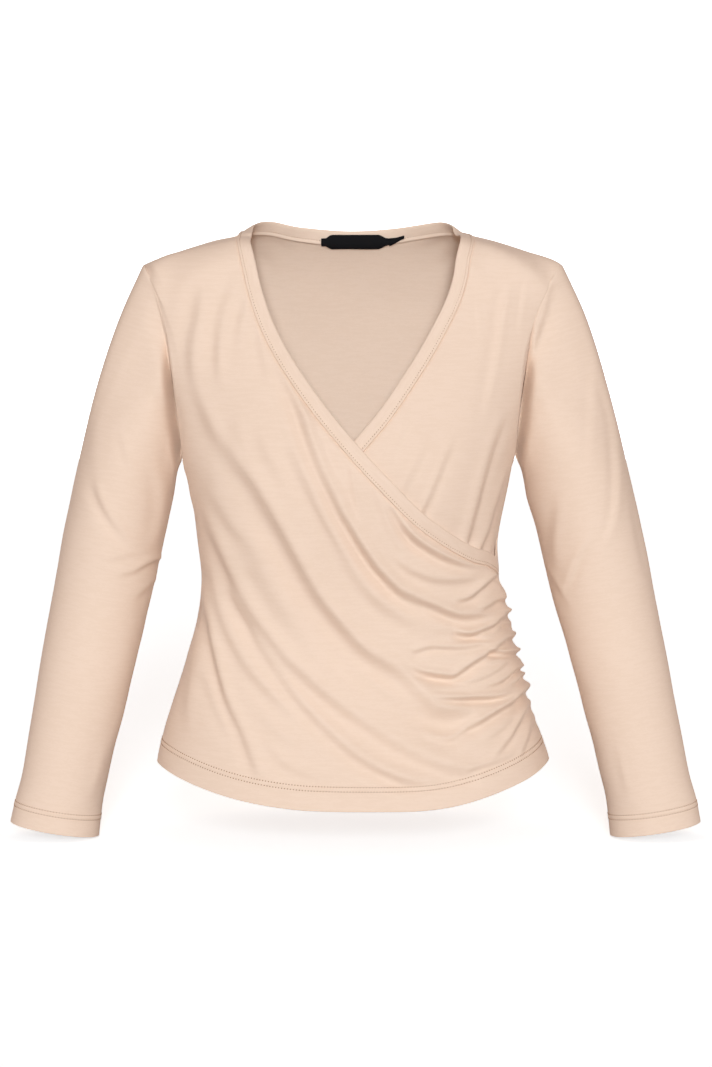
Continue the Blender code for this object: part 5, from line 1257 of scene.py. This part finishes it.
class Material:
    """A short way to make a material, and to add and join its nodes."""

    def __init__(self, name, **sockets):
        self.data = bpy.data.materials.new(name)
        self.data.use_nodes = True
        self.tree = self.data.node_tree
        self.shader = self.tree.nodes["Principled BSDF"]
        put(self.shader, **sockets)

    def add(self, kind, **sockets):
        return put(self.tree.nodes.new(kind), **sockets)

    def join(self, output, node, name):
        self.tree.links.new(output, node.inputs[name])

    def noise(self, kind):
        """Noise on the cloth's own coordinates."""
        spot = self.add("ShaderNodeAttribute")
        spot.attribute_name = "cloth"
        scaled = self.add("ShaderNodeMapping", Scale=(kind.around, kind.up, 1))
        noise = self.add("ShaderNodeTexNoise", Scale=1.0, Detail=kind.detail,
                         Roughness=NOISE_ROUGHNESS)
        self.join(spot.outputs["Vector"], scaled, "Vector")
        self.join(scaled.outputs["Vector"], noise, "Vector")
        return noise.outputs["Fac"]

    def mix(self, base, other, share):
        """The base, and a share of the other on top."""
        node = self.add("ShaderNodeMath")
        node.operation = "MULTIPLY_ADD"
        self.join(other, node, 0)
        node.inputs[1].default_value = share
        self.join(base, node, 2)
        return node.outputs["Value"]

    def bump(self, kind, strength, depth):
        """Bumps in the face, from a noise, at most so many metres deep."""
        bump = self.add("ShaderNodeBump", Strength=strength, Distance=depth)
        self.join(self.noise(kind), bump, "Height")
        self.join(bump.outputs["Normal"], self.shader, "Normal")


# Noises of the cloth: how many bumps a metre there are around and up, and how fine.
Noise = namedtuple("Noise", "around up detail")
SLUBS = Noise(62, 330, 3.0)
FIBRES = Noise(300, 900, 2.0)
CLOUDS = Noise(9, 14, 2.0)
GRAIN = Noise(900, 1500, 2.0)
RIBS = Noise(300, 2600, 1.0)
NOISE_ROUGHNESS = 0.55
# The jersey's shades: where each stands in its mixed noise, and its colour.
Shade = namedtuple("Shade", "place colour")
JERSEY_SHADES = table(Shade, (0.62, (0.793, 0.620, 0.490, 1.0)),
                      (0.97, (0.805, 0.632, 0.503, 1.0)), (1.32, (0.817, 0.645, 0.518, 1.0)))
FIBRE_SHARE = 0.6
CLOUD_SHARE = 0.35
# The stitches' thread: real thread, made darker than the cloth so that its colour also paints the shade
# in the dimples where each stitch pulls in.
DIMPLE_SHADE_THREAD_COLOUR = (0.34, 0.18, 0.09, 1.0)
LABEL_BLACK = (0.006, 0.006, 0.007, 1.0)
FLOOR_WHITE = (0.85, 0.95, 1.0, 1.0)


def jersey():
    """Fine heathered single jersey: slubs along the courses, and a small knitted grain."""
    cloth = Material("jersey", Roughness=0.85, Specular_IOR_Level=0.3, Sheen_Weight=0.2,
                     Sheen_Roughness=0.45, Sheen_Tint=(1.0, 0.93, 0.86, 1.0))
    slubs, fibres, clouds = [cloth.noise(kind) for kind in (SLUBS, FIBRES, CLOUDS)]
    shades = cloth.add("ShaderNodeValToRGB")
    first, middle, last = JERSEY_SHADES
    stops = shades.color_ramp.elements
    stops[0].position, stops[0].color = first
    stops[1].position, stops[1].color = last
    stops.new(middle.place).color = middle.colour
    cloth.join(cloth.mix(cloth.mix(slubs, fibres, FIBRE_SHARE), clouds, CLOUD_SHARE), shades, "Fac")
    cloth.join(shades.outputs["Color"], cloth.shader, "Base Color")
    cloth.bump(GRAIN, strength=0.5, depth=0.0001)
    return cloth.data


def woven_label():
    """Black satin tape, with fine ribs along it."""
    tape = Material("woven_label", Base_Color=LABEL_BLACK, Roughness=0.8,
                    Specular_IOR_Level=0.12)
    tape.bump(RIBS, strength=0.6, depth=0.0002)
    return tape.data


def glowing(name, glow):
    return Material(name, Base_Color=FLOOR_WHITE, Roughness=0.9,
                    Emission_Color=(1.0, 1.0, 1.0, 1.0), Emission_Strength=glow).data


# --------------------------------------------------------------- camera, light, floor

SENSOR_WIDTH = 36.0
LENS = 101.22
FAR_CLIP = 50.0          # in metres

# Every light is far off, so the floor is lit evenly: its strength is what it gives a surface
# that faces it, and spread is how wide it looks from the cloth, in degrees.
Light = namedtuple("Light", "name way strength spread")
LIGHTS = table(
    Light,
    ("front", (0.0, -1.0, 0.10), 0.50, 6),
    ("high", (0.06, -1.0, 0.36), 0.33, 14),
    ("right", (-1.0, -0.35, 0.12), 0.08, 20),
    ("left", (1.0, -0.35, 0.12), 0.08, 20),
    ("behind", (0.0, 1.0, -0.06), 0.57, 30))
LAMP_COLOUR = (0.90, 0.975, 1.02)
WORLD_COLOUR = (1.05, 0.76, 0.64, 1.0)
WORLD_LIGHT = 0.30
FLOOR_HEIGHT = -612.0
FLOOR_HALF = 12000.0
FLOOR_GLOW = 0.625
BACKDROP_GLOW = 1.2
BACKDROP_AWAY = 6000.0


def make_camera():
    data = bpy.data.cameras.new("camera")
    data.sensor_width, data.lens, data.clip_end = SENSOR_WIDTH, LENS, FAR_CLIP
    camera = add_object("camera", data)
    camera.location = Vector(EYE) * MM
    target = Vector((EYE_ACROSS, 0, EYE_TARGET_HEIGHT)) * MM
    camera.rotation_euler = (target - camera.location).to_track_quat("-Z", "Y").to_euler()
    bpy.context.scene.camera = camera


def make_lights():
    for light in LIGHTS:
        data = bpy.data.lights.new(light.name, "SUN")
        data.angle = math.radians(light.spread)
        data.energy = light.strength * math.pi
        data.color = LAMP_COLOUR
        lamp = add_object(light.name, data)
        lamp.rotation_euler = Vector(light.way).to_track_quat("Z", "Y").to_euler()
    world = bpy.data.worlds.new("world")
    bpy.context.scene.world = world
    world.use_nodes = True
    put(world.node_tree.nodes["Background"], Color=WORLD_COLOUR, Strength=WORLD_LIGHT)


def make_stage():
    """A pale floor and a white backdrop, which throw no light back on to the cloth."""
    square = np.array([(-1, -1), (1, -1), (1, 1), (-1, 1)])
    ground = [(x, y, FLOOR_HEIGHT) for x, y in square * FLOOR_HALF]
    floor = new_object("floor", ground, [(0, 1, 2, 3)], glowing("floor", FLOOR_GLOW))
    corners = [(x, y, z) for z in (-FLOOR_HALF, FLOOR_HALF) for x, y in square * BACKDROP_AWAY]
    walls = quads_between(2, 4, around=True)[1].tolist()
    backdrop = new_object("backdrop", corners, walls, glowing("backdrop", BACKDROP_GLOW))
    for thing in (floor, backdrop):
        thing.visible_diffuse = thing.visible_glossy = thing.visible_shadow = False


# ---------------------------------------------------------------------------- build

# What each piece was cut to, all round: width and length in metres, and flat area in square
# metres.
Cut = namedtuple("Cut", "node flat area held slot")
CUTS = table(
    Cut,
    ("front_right", (0.46, 0.62), 0.205, "hung", "jersey"),
    ("front_left", (0.36, 0.41), 0.082, "hung", "jersey"),
    ("back", (0.45, 0.60), 0.232, "hung", "jersey"),
    ("sleeve_right", (0.34, 0.62), 0.160, "hung", "jersey"),
    ("sleeve_left", (0.34, 0.62), 0.160, "hung", "jersey"),
    ("neck_band", (0.016, 1.36), None, "stretched", "jersey"),
    ("label", (0.069, 0.013), 0.0008, "hung", "woven_label"),
    ("size_tag", (0.0145, 0.01), 0.000065, "hung", "woven_label"))


def main():
    make_camera()
    make_lights()
    make_stage()
    bpy.context.scene.view_settings.view_transform = "Standard"
    materials = {"jersey": jersey(), "woven_label": woven_label(),
                 # The thread's dark colour is painted shade of the stitches' dimples.
                 "thread_painted_shade": Material("thread_painted_shade", Base_Color=DIMPLE_SHADE_THREAD_COLOUR, Roughness=0.6).data}
    made = [
        make_overlap(materials),
        make_underlap(materials),
        make_back(materials),
        make_sleeve("right_sleeve", -1, RIGHT_SLEEVE_FOLDS, RIGHT_ARMPIT, RIGHT_SLEEVE_ROUGH,
                    materials),
        make_sleeve("left_sleeve", 1, LEFT_SLEEVE_FOLDS, LEFT_ARMPIT, LEFT_SLEEVE_ROUGH,
                    materials),
        make_band(materials),
        (make_label("label_tape", LABEL_OUTLINE, materials["woven_label"]), []),
        (make_label("size_tape", TAG_OUTLINE, materials["woven_label"]), []),
    ]
    for (piece, sewing), cut in zip(made, CUTS):
        for thing in [piece] + sewing:
            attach(thing, "root")
        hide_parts(cut.node)


main()
